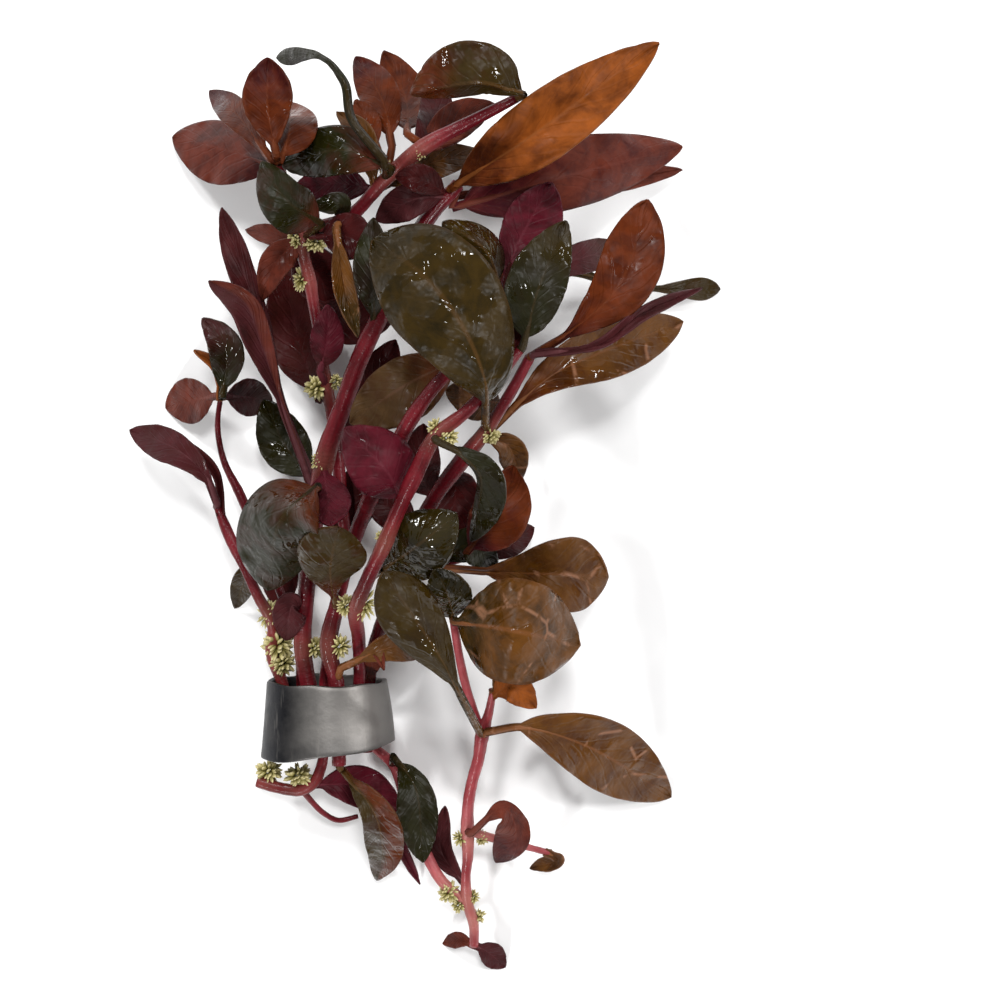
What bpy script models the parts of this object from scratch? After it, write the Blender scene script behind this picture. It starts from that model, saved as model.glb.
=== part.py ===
"""A cut bunch of Alternanthera reineckii lying on a surface, its stems held by a strip of grey metal.

Places are given on a plan of 1000 by 1000 units seen from an eye above the bunch, with the plan's
y running down, and a height in millimetres. Each piece is laid on what is already under it.
"""
import math

import bmesh
import bpy
import numpy as np
from mathutils import Vector
from mathutils.bvhtree import BVHTree

MM = 0.001
PLAN = 0.2  # mm for one plan unit at the middle height
EYE = 345.0  # height of the eye over the surface, mm
MIDDLE = 25.0  # the height at which the plan is true, mm
LEAF = 0.6  # leaf thickness, mm
GAP = 0.35  # least gap between pieces that touch, mm
KEEP = 0.96  # how far a raised leaf stays raised along its length
BAND_WALL = 1.1  # the metal strip's thickness, mm
BAND_TOP = (-35.75, -37.3, 12.5, 12.0)  # rim towards the tips: x, y, half width, half height, mm
BAND_LOW = (-35.5, -51.6, 14.0, 13.2)  # rim towards the cut ends
BAND_HEIGHT = 13.2  # height of the band's middle line, mm
BAND_SKEW = 1.7  # how much longer the band is on the left than on the right, half the difference, mm

LEAF_COLOURS = {
    "orange": (0.17, 0.05, 0.012),
    "gold": (0.15, 0.07, 0.012),
    "red": (0.13, 0.025, 0.018),
    "crimson": (0.11, 0.012, 0.03),
    "mauve": (0.12, 0.03, 0.035),
    "olive": (0.045, 0.035, 0.006),
    "green": (0.02, 0.028, 0.008),
    "dark": (0.03, 0.01, 0.01),
}

# name: (points as plan x, plan y, height), widths along it, leaf it is drawn after
STEMS = {
    "stem_left_shoot": (
        [(305, 752, 7), (300, 690, 8), (300, 645, 9), (285, 605, 10), (268, 560, 11), (250, 520, 12),
         (237, 487, 13), (222, 457, 14), (217, 440, 15), (219, 410, 17), (222, 390, 19)],
        [9, 9, 9, 9, 9, 9, 9, 10, 7, 6, 5],
    ),
    "stem_back": (
        [(327, 752, 7), (325, 690, 8), (334, 620, 10), (345, 560, 12), (341, 500, 15), (335, 430, 17),
         (328, 395, 19), (318, 330, 23), (305, 250, 28), (303, 238, 29), (330, 226, 30),
         (352, 215, 32), (385, 180, 35), (395, 165, 36), (440, 138, 39), (517, 98, 43)],
        [14, 14, 14, 13, 13, 13, 14, 12, 11, 12, 12, 13, 13, 15, 12, 9],
    ),
    "stem_left": (
        [(288, 752, 12), (284, 690, 13), (272, 655, 14), (275, 632, 15), (262, 605, 17), (250, 580, 18),
         (235, 548, 19), (222, 522, 20), (217, 506, 20)],
        [11, 11, 11, 12, 11, 11, 10, 12, 8],
    ),
    "stem_stub": (
        [(258, 781, 10), (285, 789, 11), (308, 788, 12), (318, 775, 12), (323, 758, 12), (325, 738, 12)],
        [12, 12, 12, 11, 11, 10],
    ),
    "stem_loose": (
        [(474, 945, 7), (474, 930, 9), (472, 915, 11), (465, 893, 13), (467, 868, 15), (468, 845, 17),
         (467, 820, 18), (470, 790, 20), (478, 760, 22), (483, 730, 24), (490, 708, 26), (493, 690, 28)],
        [10, 10, 11, 10, 11, 13, 12, 12, 12, 14, 9, 7],
    ),
    "stem_right": (
        [(366, 752, 10), (367, 690, 10.5), (374, 650, 13), (385, 615, 18), (408, 560, 22), (425, 512, 26),
         (455, 470, 30), (470, 450, 32), (485, 432, 34), (500, 410, 35), (515, 385, 36), (530, 357, 37)],
        [13, 14, 15, 15, 14, 15, 15, 15, 17, 12, 11, 10],
    ),
    "stem_thick": (
        [(312, 752, 17), (310, 690, 17), (302, 640, 18), (308, 580, 20), (315, 520, 22), (320, 480, 24),
         (330, 440, 27), (345, 400, 29), (365, 345, 31), (380, 315, 32), (400, 270, 31),
         (430, 215, 29), (458, 185, 27)],
        [16, 17, 17, 17, 17, 18, 19, 18, 18, 18, 17, 16, 14],
    ),
    "stem_middle": (
        [(339, 765, 16), (337, 690, 17), (328, 652, 18), (330, 630, 18), (336, 605, 19), (345, 570, 21),
         (358, 528, 23), (375, 488, 26), (395, 450, 28), (415, 412, 31), (435, 386, 32),
         (458, 362, 33), (480, 320, 31), (500, 288, 29)],
        [14, 15, 16, 16, 14, 14, 15, 17, 16, 15, 13, 12, 11, 10],
    ),
    "stem_front": (
        [(358, 752, 15), (358, 690, 15.5), (360, 650, 17.5), (356, 606, 28), (375, 565, 33), (390, 530, 36),
         (405, 495, 39), (420, 465, 41), (435, 437, 42), (455, 420, 43), (480, 400, 44),
         (500, 375, 44), (520, 350, 43)],
        [12, 12, 12, 14, 14, 14, 14, 14, 16, 13, 12, 11, 9],
    ),
}

# side branches, grown from their stems: stem, points (the first one's height is the stem's), widths
BRANCHES = [
    ("stem_back", [(303, 238, 29), (290, 200, 31), (278, 160, 33)], [10, 9, 7]),
    ("stem_loose", [(465, 898, 13), (445, 885, 13), (425, 852, 12), (410, 815, 11), (396, 770, 10),
                    (372, 745, 6), (352, 722, 5)], [8, 11, 13, 12, 11, 10, 9]),
    ("stem_loose", [(483, 730, 24), (464, 680, 24), (453, 618, 25)], [9, 9, 8]),
    ("stem_loose", [(469, 838, 17), (500, 840, 16), (520, 845, 14), (550, 853, 9)], [8, 8, 7, 7]),
    ("stem_right", [(404, 568, 21), (430, 567, 19), (468, 556, 17)], [9, 9, 8]),
    ("stem_stub", [(308, 788, 12), (318, 808, 8), (336, 820, 5), (358, 816, 4)], [7, 6, 6, 5]),
]

# spiky flower clusters: stem, plan x, plan y, width, lengthening along y, many-pointed or not
CLUSTERS = [
    ("stem_back", 287, 232, 17, 1.0, 0), ("stem_back", 287, 250, 14, 1.0, 0),
    ("stem_back", 284, 268, 18, 1.4, 0), ("stem_back", 313, 250, 14, 1.0, 0),
    ("stem_back", 335, 248, 24, 0.9, 1), ("stem_back", 388, 157, 14, 1.3, 0),
    ("stem_back", 410, 166, 13, 1.0, 0), ("stem_back", 317, 388, 26, 1.0, 1),
    ("stem_back", 338, 380, 16, 1.1, 0),
    ("stem_thick", 316, 465, 15, 1.5, 0), ("stem_thick", 314, 648, 21, 1.1, 0),
    ("stem_front", 437, 422, 17, 1.2, 0), ("stem_front", 456, 437, 22, 0.9, 1),
    ("stem_right", 490, 436, 20, 0.8, 1), ("stem_left", 267, 610, 20, 1.6, 0), ("stem_left", 284, 664, 26, 1.0, 0),
    ("stem_left_shoot", 290, 625, 20, 1.3, 0), ("stem_left", 278, 645, 34, 1.1, 1),
    ("stem_middle", 343, 647, 22, 1.1, 1), ("stem_front", 344, 604, 18, 1.3, 0),
    ("stem_front", 368, 600, 20, 1.6, 0), ("stem_front", 379, 530, 12, 1.1, 0),
    ("stem_stub", 269, 771, 28, 0.9, 1), ("stem_stub", 296, 768, 28, 0.9, 0),
    ("stem_loose", 456, 843, 16, 1.1, 0), ("stem_loose", 479, 838, 16, 1.0, 0),
    ("stem_loose", 479, 890, 14, 1.0, 0), ("stem_loose", 477, 916, 18, 0.8, 0),
    ("stem_loose", 449, 893, 22, 1.1, 0), ("stem_loose", 450, 908, 16, 1.0, 0),
    ("stem_loose", 502, 858, 13, 1.4, 0),
]

# Leaves in the order they lie, lowest first, with the stems among them. For a leaf: the stem it
# grows on, its midrib (the first height is the stem's), its width, where it is widest, how much of
# its length is stalk, the left and right halves' share of the width as seen, edge lift, wave, colour
ORDER = [
    ("leaf_back_dark", "stem_back", [(319, 401, 0), (299, 340, 5), (281, 262, 3)], 60, .5, .1, 1, 1, 1, .5, "dark"),
    ("leaf_tip_low", "stem_back", [(283, 172, 0), (235, 153, 18), (173, 137, 3)], 72, .5, .08, 1, .76, -2, .5, "mauve"),
    ("leaf_side_low", "stem_left_shoot", [(218, 396, 0), (194, 400, 9), (166, 407, .3)], 46, .5, .1, 1, 1, -1, .5, "dark"),
    ("leaf_side_inner", "stem_left_shoot", [(222, 396, 0), (246, 397, 9), (272, 402, .3)], 38, .5, .1, 1, 1, 1, .3, "dark"),
    ("leaf_crown_left", "stem_back", [(407, 134, 0), (406, 100, 18), (384, 51, 10)], 50, .5, .1, 1, 1, 1, .6, "orange"),
    ("leaf_crown_back", "stem_back", [(392, 147, 0), (382, 100, 31), (356, 57, 22)], 40, .46, .1, 1, 1, -1, .6, "orange"),
    ("leaf_crown_small", "stem_back", [(378, 150, 0), (368, 125, 32), (356, 100, 30)], 28, .5, .1, 1, 1, 0, .2, "red"),
    ("stem_left_shoot",),
    ("leaf_left_inner", "stem_thick", [(314, 481, 0), (285, 445, 12), (264, 400, 8)], 50, .5, .1, 1, 1, 1, .6, "green"),
    ("leaf_left_far", "stem_thick", [(315, 481, 0), (285, 410, 20), (268, 340, 25), (243, 272, 24), (222, 208, 18)],
     30, .68, .3, 1, .8, 1, .7, "mauve"),
    ("leaf_left_near", "stem_thick", [(310, 483, 0), (280, 400, 22), (263, 350, 28), (245, 305, 29), (209, 281, 24)],
     34, .62, .3, 1, .8, 2, 1.2, "mauve"),
    ("leaf_side_up", "stem_left_shoot", [(222, 398, 0), (226, 350, 25), (203, 318, 24)], 35, .5, .1, 1, 1, 1, .5, "green"),
    ("stem_back",),
    ("stem_left",),
    ("leaf_bridge", "stem_back", [(392, 168, 0), (340, 150, 42), (283, 167, 34)], 50, .5, .08, 1, 1, -2, .4, "green"),
    ("leaf_left_out", "stem_left", [(217, 503, 0), (205, 476, 23), (178, 450, 24), (130, 430, 14)], 36, .58, .12, 1, .9, 2, .6, "red"),
    ("leaf_tip_right", "stem_back", [(279, 163, 0), (290, 132, 30), (289, 102, 20)], 54, .45, .1, .9, 1, -2, .6, "red"),
    ("leaf_tip_left", "stem_back", [(274, 163, 0), (240, 118, 30), (210, 91, 17)], 30, .5, .1, 1, 1, 1, .4, "red"),
    ("leaf_tip_up", "stem_back", [(277, 158, 0), (268, 110, 40), (268, 58, 44)], 50, .6, .1, 1, 1, 2, .6, "orange"),
    ("leaf_curl_over", "stem_back", [(384, 160, 0), (352, 120, 42), (344, 82, 47), (318, 56, 44), (277, 58, 32)],
     17, .78, .45, 1, 1, -1, .3, "green"),
    ("leaf_crown_olive", "stem_back", [(524, 95, 0), (480, 82, 50), (411, 94, 44)], 84, .52, .03, .3, 1, 2, 1, "olive"),
    ("leaf_centre_dark", "stem_back", [(316, 236, 0), (345, 236, 34), (374, 247, 38)], 48, .5, .1, 1, 1, 1, .4, "dark"),
    ("leaf_centre_gold", "stem_back", [(336, 226, 0), (344, 285, 36), (358, 337, 39)], 22, .5, .1, 1, 1, 1, .4, "gold"),
    ("leaf_centre_plum", "stem_back", [(320, 372, 0), (327, 342, 29), (328, 305, 36)], 34, .5, .1, 1, 1, -1, .4, "crimson"),
    ("leaf_under_right", "stem_thick", [(452, 196, 0), (560, 186, 22), (682, 170, 3)], 26, .6, .1, 1, 1, 1, .4, "crimson"),
    ("leaf_mauve_big", "stem_thick", [(452, 208, 0), (556, 179, 30), (682, 147, 8)], 73, .42, .05, 1, .9, -3, 1, "mauve"),
    ("leaf_right_stalked", "stem_middle", [(500, 289, 0), (568, 272, 25), (630, 287, 16), (720, 289, .4)],
     23, .8, .52, 1, 1, 1, .4, "olive"),
    ("leaf_right_pink", "stem_middle", [(502, 287, 0), (570, 262, 28), (626, 245, 14)], 32, .55, .1, 1, 1, 1, .5, "mauve"),
    ("stem_stub",),
    ("stem_loose",),
    ("leaf_below_green", "stem_loose", [(393, 756, 0), (416, 790, 12), (423, 862, 3)], 46, .5, .08, .8, 1, 2, .7, "green"),
    ("leaf_below_olive", "stem_middle", [(341, 769, 0), (373, 810, 20), (383, 850, 10), (377, 880, .6)],
     44, .55, .06, 1, .8, 2, 1, "olive"),
    ("leaf_right_gold", "stem_right", [(487, 434, 0), (545, 380, 34), (605, 351, 28), (683, 322, 14)],
     58, .58, .14, 1, 1, 1, 1, "gold"),
    ("stem_right",),
    ("stem_thick",),
    ("leaf_centre_tan", "stem_middle", [(460, 360, 0), (406, 385, 38), (350, 423, 34)], 72, .52, .05, 1, .8, 2, .7, "gold"),
    ("leaf_left_olive", "stem_thick", [(318, 486, 0), (280, 522, 36), (268, 590, 22)], 86, .5, .04, 1, .9, -4, 1, "olive"),
    ("stem_middle",),
    ("leaf_orange_big", "stem_thick", [(450, 189, 0), (538, 131, 38), (659, 43, 34)], 68, .46, .05, 1, 1, 3, 1.2, "orange"),
    ("leaf_purple_fold", "stem_middle", [(502, 290, 0), (520, 240, 38), (552, 183, 32)], 66, .55, .1, .75, 1, 3, .8, "crimson"),
    ("leaf_top_fold", "stem_middle", [(499, 290, 0), (485, 250, 42), (443, 222, 44)], 48, .5, .1, 1, .7, -4, .7, "olive"),
    ("leaf_right_spoon", "stem_right", [(436, 568, 0), (500, 572, 22), (560, 574, 26), (608, 577, 18)],
     75, .68, .2, 1, 1, 3, 1, "orange"),
    ("leaf_right_shadow", "stem_right", [(466, 553, 0), (500, 512, 30), (513, 466, 24)], 60, .5, .08, .9, 1, 3, .8, "orange"),
    ("leaf_front_glossy", "stem_front", [(382, 570, 0), (417, 546, 42), (457, 514, 44)], 68, .55, .04, 1, 1, -4, .8, "olive"),
    ("leaf_front_blunt", "stem_middle", [(336, 606, 0), (330, 570, 38), (338, 527, 46)], 69, .72, .08, 1, 1, -3, .8, "olive"),
    ("leaf_magenta", "stem_front", [(403, 500, 0), (384, 468, 46), (345, 428, 42)], 66, .5, .06, 1, 1, -3, .6, "crimson"),
    ("stem_front",),
    ("leaf_front_arch", "stem_front", [(437, 441, 0), (463, 456, 50), (482, 482, 46), (471, 541, 30)],
     50, .52, .14, 1, .2, 1, .5, "olive"),
    ("leaf_low_yellow", "stem_middle", [(341, 668, 0), (388, 648, 28), (438, 641, 14)], 34, .55, .15, 1, 1, 1, .5, "olive"),
    ("leaf_right_brown", "stem_right", [(531, 356, 0), (580, 325, 44), (622, 280, 48), (648, 200, 44)],
     66, .62, .18, .9, 1, 3, .9, "orange"),
    ("leaf_right_green", "stem_front", [(523, 347, 0), (538, 290, 50), (566, 221, 46)], 66, .44, .08, 1, .8, 3, 1, "green"),
    ("leaf_twisted", "stem_right", [(535, 354, 0), (598, 345, 46), (645, 312, 48), (702, 288, 40)], 14, .6, .1, 1, 1, 1, .8, "mauve"),
    ("leaf_big_glossy", "stem_right", [(485, 424, 0), (484, 378, 52), (460, 322, 57), (421, 274, 57), (372, 240, 49)],
     114, .6, .16, 1, 1, -4, 1.3, "olive"),
    ("leaf_tip_front", "stem_back", [(322, 224, 0), (286, 200, 46), (262, 162, 44)], 56, .5, .08, 1, .8, -2, .6, "green"),
    ("leaf_low_green", "stem_loose", [(454, 620, 0), (448, 596, 34), (436, 568, 38)], 48, .5, .08, 1, 1, 1, .4, "olive"),
    ("leaf_front_gold", "stem_loose", [(453, 621, 0), (515, 631, 42), (580, 645, 28)], 105, .5, .05, 1, 1, -4, 1.1, "gold"),
    ("leaf_front_long", "stem_loose", [(479, 730, 0), (459, 692, 40), (434, 648, 48), (383, 572, 50)],
     64, .7, .36, 1, .9, -3, 1, "olive"),
    ("leaf_loose_gold", "stem_loose", [(486, 732, 0), (530, 728, 30), (595, 750, 22), (671, 797, .8)],
     70, .5, .16, 1, 1, 3, 1, "gold"),
    ("leaf_loose_curl", "stem_loose", [(470, 834, 0), (502, 808, 24), (516, 835, 14), (496, 862, 2)], 42, .6, .1, .7, 1, 1, .8, "red"),
]

# the smallest leaves, grown from their stems: stem, midrib, width, colour
SMALL = [
    ("stem_left_shoot", [(254, 528, 0), (276, 556, 5), (282, 612, 3)], 40, "dark"),
    ("stem_left_shoot", [(222, 392, 0), (218, 368, 21), (194, 350, 22)], 12, "orange"),
    ("stem_left_shoot", [(270, 562, 0), (250, 572, 12), (235, 608, 1)], 24, "olive"),
    ("stem_left", [(218, 512, 0), (214, 470, 18), (168, 430, 12)], 9, "dark"),
    ("stem_back", [(300, 240, 0), (275, 236, 24), (246, 230, 16)], 20, "red"),
    ("stem_back", [(358, 208, 0), (340, 204, 36), (312, 206, 36)], 22, "green"),
    ("stem_back", [(372, 192, 0), (342, 184, 28), (296, 186, 20)], 40, "crimson"),
    ("stem_back", [(304, 252, 0), (318, 276, 20), (344, 306, 16)], 50, "dark"),
    ("stem_back", [(312, 298, 0), (346, 320, 18), (396, 316, 14)], 48, "dark"),
    ("stem_back", [(300, 256, 0), (276, 262, 18), (262, 300, 14)], 32, "red"),
    ("stem_back", [(336, 440, 0), (366, 400, 10), (396, 340, 8)], 50, "dark"),
    ("stem_back", [(345, 548, 0), (352, 510, 12), (378, 452, 14)], 46, "dark"),
    ("stem_back", [(388, 166, 0), (362, 136, 38), (337, 112, 34)], 26, "gold"),
    ("stem_back", [(434, 144, 0), (458, 120, 30), (494, 104, 24)], 38, "red"),
    ("stem_back", [(442, 139, 0), (436, 112, 27), (430, 70, 20)], 34, "dark"),
    ("stem_back", [(402, 166, 0), (432, 163, 28), (480, 152, 20)], 34, "gold"),
    ("stem_thick", [(452, 190, 0), (412, 200, 31), (376, 220, 27)], 36, "mauve"),
    ("stem_thick", [(444, 200, 0), (424, 180, 24), (396, 176, 20)], 30, "dark"),
    ("stem_thick", [(388, 292, 0), (372, 262, 26), (374, 218, 26)], 38, "green"),
    ("stem_thick", [(324, 474, 0), (328, 500, 36), (331, 526, 46)], 46, "crimson"),
    ("stem_thick", [(306, 590, 0), (292, 606, 14), (286, 640, 6)], 34, "mauve"),
    ("stem_right", [(487, 430, 0), (508, 446, 32), (520, 480, 24)], 30, "gold"),
    ("stem_right", [(440, 567, 0), (468, 545, 24), (497, 566, 18)], 36, "green"),
    ("stem_right", [(462, 558, 0), (498, 545, 16), (534, 528, 6)], 34, "dark"),
    ("stem_right", [(470, 452, 0), (456, 484, 22), (452, 548, 12)], 50, "dark"),
    ("stem_right", [(418, 530, 0), (398, 516, 20), (368, 486, 14)], 40, "dark"),
    ("stem_right", [(440, 490, 0), (420, 470, 20), (424, 424, 14)], 42, "dark"),
    ("stem_right", [(364, 668, 0), (377, 652, 28), (384, 670, 31)], 18, "red"),
    ("stem_right", [(500, 408, 0), (474, 398, 24), (446, 390, 18)], 44, "gold"),
    ("stem_front", [(518, 354, 0), (512, 316, 30), (510, 262, 26)], 26, "dark"),
    ("stem_middle", [(502, 290, 0), (486, 258, 28), (462, 226, 28)], 44, "red"),
    ("stem_stub", [(314, 781, 0), (358, 786, 7), (402, 810, 3)], 42, "crimson"),
    ("stem_loose", [(404, 792, 0), (402, 845, 8), (420, 884, 1)], 10, "crimson"),
    ("stem_loose", [(474, 941, 0), (460, 940, 5), (443, 943, 1)], 16, "red"),
    ("stem_loose", [(474, 941, 0), (488, 952, 5), (505, 967, .5)], 25, "mauve"),
    ("stem_loose", [(466, 882, 0), (441, 850, 10), (445, 806, 10)], 22, "mauve"),
    ("stem_loose", [(546, 852, 0), (558, 860, 8), (530, 868, 3)], 16, "gold"),
    ("stem_loose", [(492, 693, 0), (512, 686, 34), (536, 708, 32)], 32, "orange"),
    ("stem_loose", [(493, 691, 0), (508, 674, 32), (540, 674, 26)], 26, "gold"),
]


def spot(x, y, z):
    """The place in millimetres of a plan point at height z."""
    size = PLAN * (EYE - z) / (EYE - MIDDLE)
    return Vector(((x - 500) * size, (500 - y) * size, z))


def smooth_path(points, count):
    """Points spread evenly along a smooth curve through the given points."""
    p = np.array(points, float)
    p = np.vstack([2 * p[0] - p[1], p, 2 * p[-1] - p[-2]])
    line = []
    for i in range(1, len(p) - 2):
        for t in np.linspace(0, 1, 12, endpoint=False):
            line.append(
                0.5 * (2 * p[i] + (p[i + 1] - p[i - 1]) * t
                       + (2 * p[i - 1] - 5 * p[i] + 4 * p[i + 1] - p[i + 2]) * t ** 2
                       + (3 * p[i] - p[i - 1] - 3 * p[i + 1] + p[i + 2]) * t ** 3)
            )
    line.append(p[-2])
    line = np.array(line)
    steps = np.diff(line, axis=0) * (PLAN, PLAN, 1)
    along = np.concatenate([[0], np.cumsum(np.linalg.norm(steps, axis=1))])
    at = np.linspace(0, along[-1], count)
    return np.stack([np.interp(at, along, line[:, k]) for k in range(3)], axis=1)


def sideways(path):
    """The direction across a path on the plan, at each of its points."""
    ahead = np.gradient(path[:, :2], axis=0)
    # a short piece that points at the eye keeps the direction of its neighbours
    for _ in range(3):
        ahead[1:-1] = (ahead[:-2] + 2 * ahead[1:-1] + ahead[2:]) / 4
    ahead /= np.maximum(np.linalg.norm(ahead, axis=1), 1e-6)[:, None]
    return np.stack([-ahead[:, 1], ahead[:, 0]], axis=1)


def leaf_grid(midrib, width, widest, stalk, left, right, lift, wave, rows, columns):
    """A leaf's plan points and heights, as an array of rows and columns."""
    path = smooth_path(midrib, rows)
    across = sideways(path)
    u = np.linspace(0, 1, rows)
    s = np.clip((u - stalk) / (1 - stalk), 0, 1)
    power = math.log(0.5) / math.log(widest)
    blade = np.sin(math.pi * s ** power) ** 0.7
    half = np.maximum(width / 2 * blade, 3.6 * (1 - s) + 1.2)
    v = np.linspace(-1, 1, columns)
    share = np.where(v < 0, left, right)
    steep = np.sqrt(1 - share ** 2)
    grid = np.zeros((rows, columns, 3))
    grid[:, :, :2] = path[:, None, :2] + across[:, None, :] * (half[:, None] * (v * share))[:, :, None]
    full = half[:, None] * PLAN
    ripple = np.sin(u * 15 + width)[:, None] * np.where(v < 0, 1, -0.7)
    grid[:, :, 2] = (
        path[:, None, 2]
        - full * np.abs(v) * steep
        + (half / (width / 2))[:, None] * (lift * np.abs(v) ** 1.5 + wave * ripple * v ** 2)
    )
    return grid


class Pile:
    """What lies on the surface so far, to be laid on by the next piece."""

    def __init__(self):
        self.layers = []

    def add(self, owner, points, faces, sheet):
        points = np.asarray(points, float)
        tree = BVHTree.FromPolygons([tuple(p) for p in points], faces)
        box = (*points[:, :2].min(axis=0), *points[:, :2].max(axis=0))
        self.layers.append((owner, tree, box, sheet))

    def top(self, x, y, owners=()):
        """The height of what lies at a plan point, without the named owners' own pieces."""
        best = 0.0
        for owner, tree, box, sheet in self.layers:
            if owner in owners or not (box[0] <= x <= box[2] and box[1] <= y <= box[3]):
                continue
            place, normal, _, _ = tree.ray_cast(Vector((x, y, 200.0)), Vector((0, 0, -1)))
            if place is None:
                continue
            height = place.z
            if sheet:
                height += LEAF / 2 * slant(normal)
            best = max(best, height)
        return best


def slant(normal):
    """How much taller than its thickness a leaf is where it is steep."""
    slope = math.hypot(normal.x, normal.y) / max(abs(normal.z), 1e-3) / PLAN
    return min(math.sqrt(1 + slope ** 2), 3.5)


def spread_lift(need, first_free):
    """A smooth rise that is nowhere less than what is needed."""
    rise = need.copy()
    for _ in range(60):
        padded = np.pad(rise, 1, mode="edge")
        mean = (padded[:-2, 1:-1] + padded[2:, 1:-1] + padded[1:-1, :-2] + padded[1:-1, 2:]) / 4
        rise = np.maximum(need, mean * KEEP)
        if first_free:
            rise[0] = 0
    return rise


def lay_leaf(pile, grid, owners=(), fused=False):
    """Raises a leaf's grid where something lies under it."""
    rows, columns, _ = grid.shape
    need = np.zeros((rows, columns))
    for i in range(rows - 1):
        for j in range(columns - 1):
            corner = grid[i:i + 2, j:j + 2].reshape(4, 3)
            edge_u = (corner[2] - corner[0]) * (PLAN, PLAN, 1)
            edge_v = (corner[1] - corner[0]) * (PLAN, PLAN, 1)
            normal = np.cross(edge_u, edge_v)
            own = LEAF / 2 * min(np.linalg.norm(normal) / max(abs(normal[2]), 1e-6), 3.0)
            worst = 0.0
            for a in np.linspace(0, 1, 6):
                for b in (-0.12, 0.2, 0.5, 0.8, 1.12):
                    p = ((1 - a) * (1 - b) * corner[0] + (1 - a) * b * corner[1]
                         + a * (1 - b) * corner[2] + a * b * corner[3])
                    under = pile.top(p[0], p[1], owners)
                    gap = GAP if under > 0 else 0.0
                    worst = max(worst, under + gap + own - p[2])
            need[i:i + 2, j:j + 2] = np.maximum(need[i:i + 2, j:j + 2], worst)
    grid[:, :, 2] += spread_lift(need, fused)
    return grid


def cluster_place(path, radius, x, y, width):
    """Which point of a stem a flower cluster sits at, and its middle, drawn in until it touches."""
    k = int(np.argmin(np.hypot(path[:, 0] - x, path[:, 1] - y)))
    far = np.array([x, y]) - path[k, :2]
    limit = 0.4 * width + 0.5 * radius[k] / PLAN
    x, y = path[k, :2] + far * min(1.0, limit / max(np.linalg.norm(far), 1e-6))
    return k, x, y


def lay_stem(pile, path, radius, lumps, owners):
    """Raises a stem's path where something lies under it or under its flower clusters."""
    need = np.zeros(len(path))
    across = sideways(path)
    for i in range(len(path) - 1):
        worst = 0.0
        for a in np.linspace(0, 1, 5):
            p = (1 - a) * path[i] + a * path[i + 1]
            r = (1 - a) * radius[i] + a * radius[i + 1]
            for d in (-1.12, -0.6, 0, 0.6, 1.12):
                q = p[:2] + across[i] * d * r / PLAN
                under = pile.top(q[0], q[1], owners)
                reach = r * math.sqrt(max(1 - d * d, 0))
                worst = max(worst, under + (GAP if under > 0 else 0.0) + reach - p[2])
        need[i:i + 2] = np.maximum(need[i:i + 2], worst)
    for x, y, width, stretch in lumps:
        i, x, y = cluster_place(path, radius, x, y, width)
        for ring in (0, 0.5, 0.85, 1.1):
            for k in range(10):
                turn = k * math.pi / 5
                px = x + ring * width / 2 * math.cos(turn)
                py = y + ring * width / 2 * stretch * math.sin(turn)
                under = pile.top(px, py, owners)
                reach = width * PLAN / 2 * math.sqrt(max(1 - ring * ring, 0.05))
                need[i] = max(need[i], under + (GAP if under > 0 else 0.0) + reach - path[i, 2])
    rise = need.copy()
    for _ in range(80):
        padded = np.pad(rise, 1, mode="edge")
        rise = np.maximum(need, (padded[:-2] + padded[2:]) / 2 * 0.985)
    path[:, 2] += rise
    return path


def tube_mesh(path, radius):
    """A tube's plan points and faces, for what is laid on it."""
    across = sideways(path)
    points = []
    for p, side, r in zip(path, across, radius):
        for k in range(8):
            turn = k * math.pi / 4 + math.pi / 8
            out = 1.09 * r * math.cos(turn) / PLAN
            points.append((p[0] + side[0] * out, p[1] + side[1] * out, p[2] + 1.06 * r * math.sin(turn)))
    faces = []
    for i in range(len(path) - 1):
        for k in range(8):
            a, b = i * 8 + k, i * 8 + (k + 1) % 8
            faces.append((a, b, b + 8, a + 8))
    faces.append(tuple(range(7, -1, -1)))
    faces.append(tuple(range(len(points) - 8, len(points))))
    return points, faces


def material(name, colour, roughness, metallic=0.0):
    made = bpy.data.materials.get(name)
    if made is None:
        made = bpy.data.materials.new(name)
        made.use_nodes = True
        shader = made.node_tree.nodes["Principled BSDF"]
        shader.inputs["Base Color"].default_value = (*colour, 1)
        shader.inputs["Roughness"].default_value = roughness
        shader.inputs["Metallic"].default_value = metallic
    return made


def add_object(name, mesh, where, colour):
    made = bpy.data.objects.new(name, mesh)
    where.objects.link(made)
    made.data.materials.clear()
    made.data.materials.append(colour)
    return made


def leaf_object(name, grid, where, colour):
    """A leaf blade: a grid bent to its shape, with Solidify for its thickness."""
    rows, columns, _ = grid.shape
    bm = bmesh.new()
    bmesh.ops.create_grid(bm, x_segments=rows - 1, y_segments=columns - 1, size=1)
    for vertex in bm.verts:
        i = round((vertex.co.x + 1) / 2 * (rows - 1))
        j = round((vertex.co.y + 1) / 2 * (columns - 1))
        vertex.co = spot(*grid[i, j]) * MM
    mesh = bpy.data.meshes.new(name)
    bm.to_mesh(mesh)
    bm.free()
    made = add_object(name, mesh, where, colour)
    solid = made.modifiers.new("thickness", "SOLIDIFY")
    solid.thickness = LEAF * MM
    solid.offset = 0
    mesh.shade_smooth()
    return made


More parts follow.
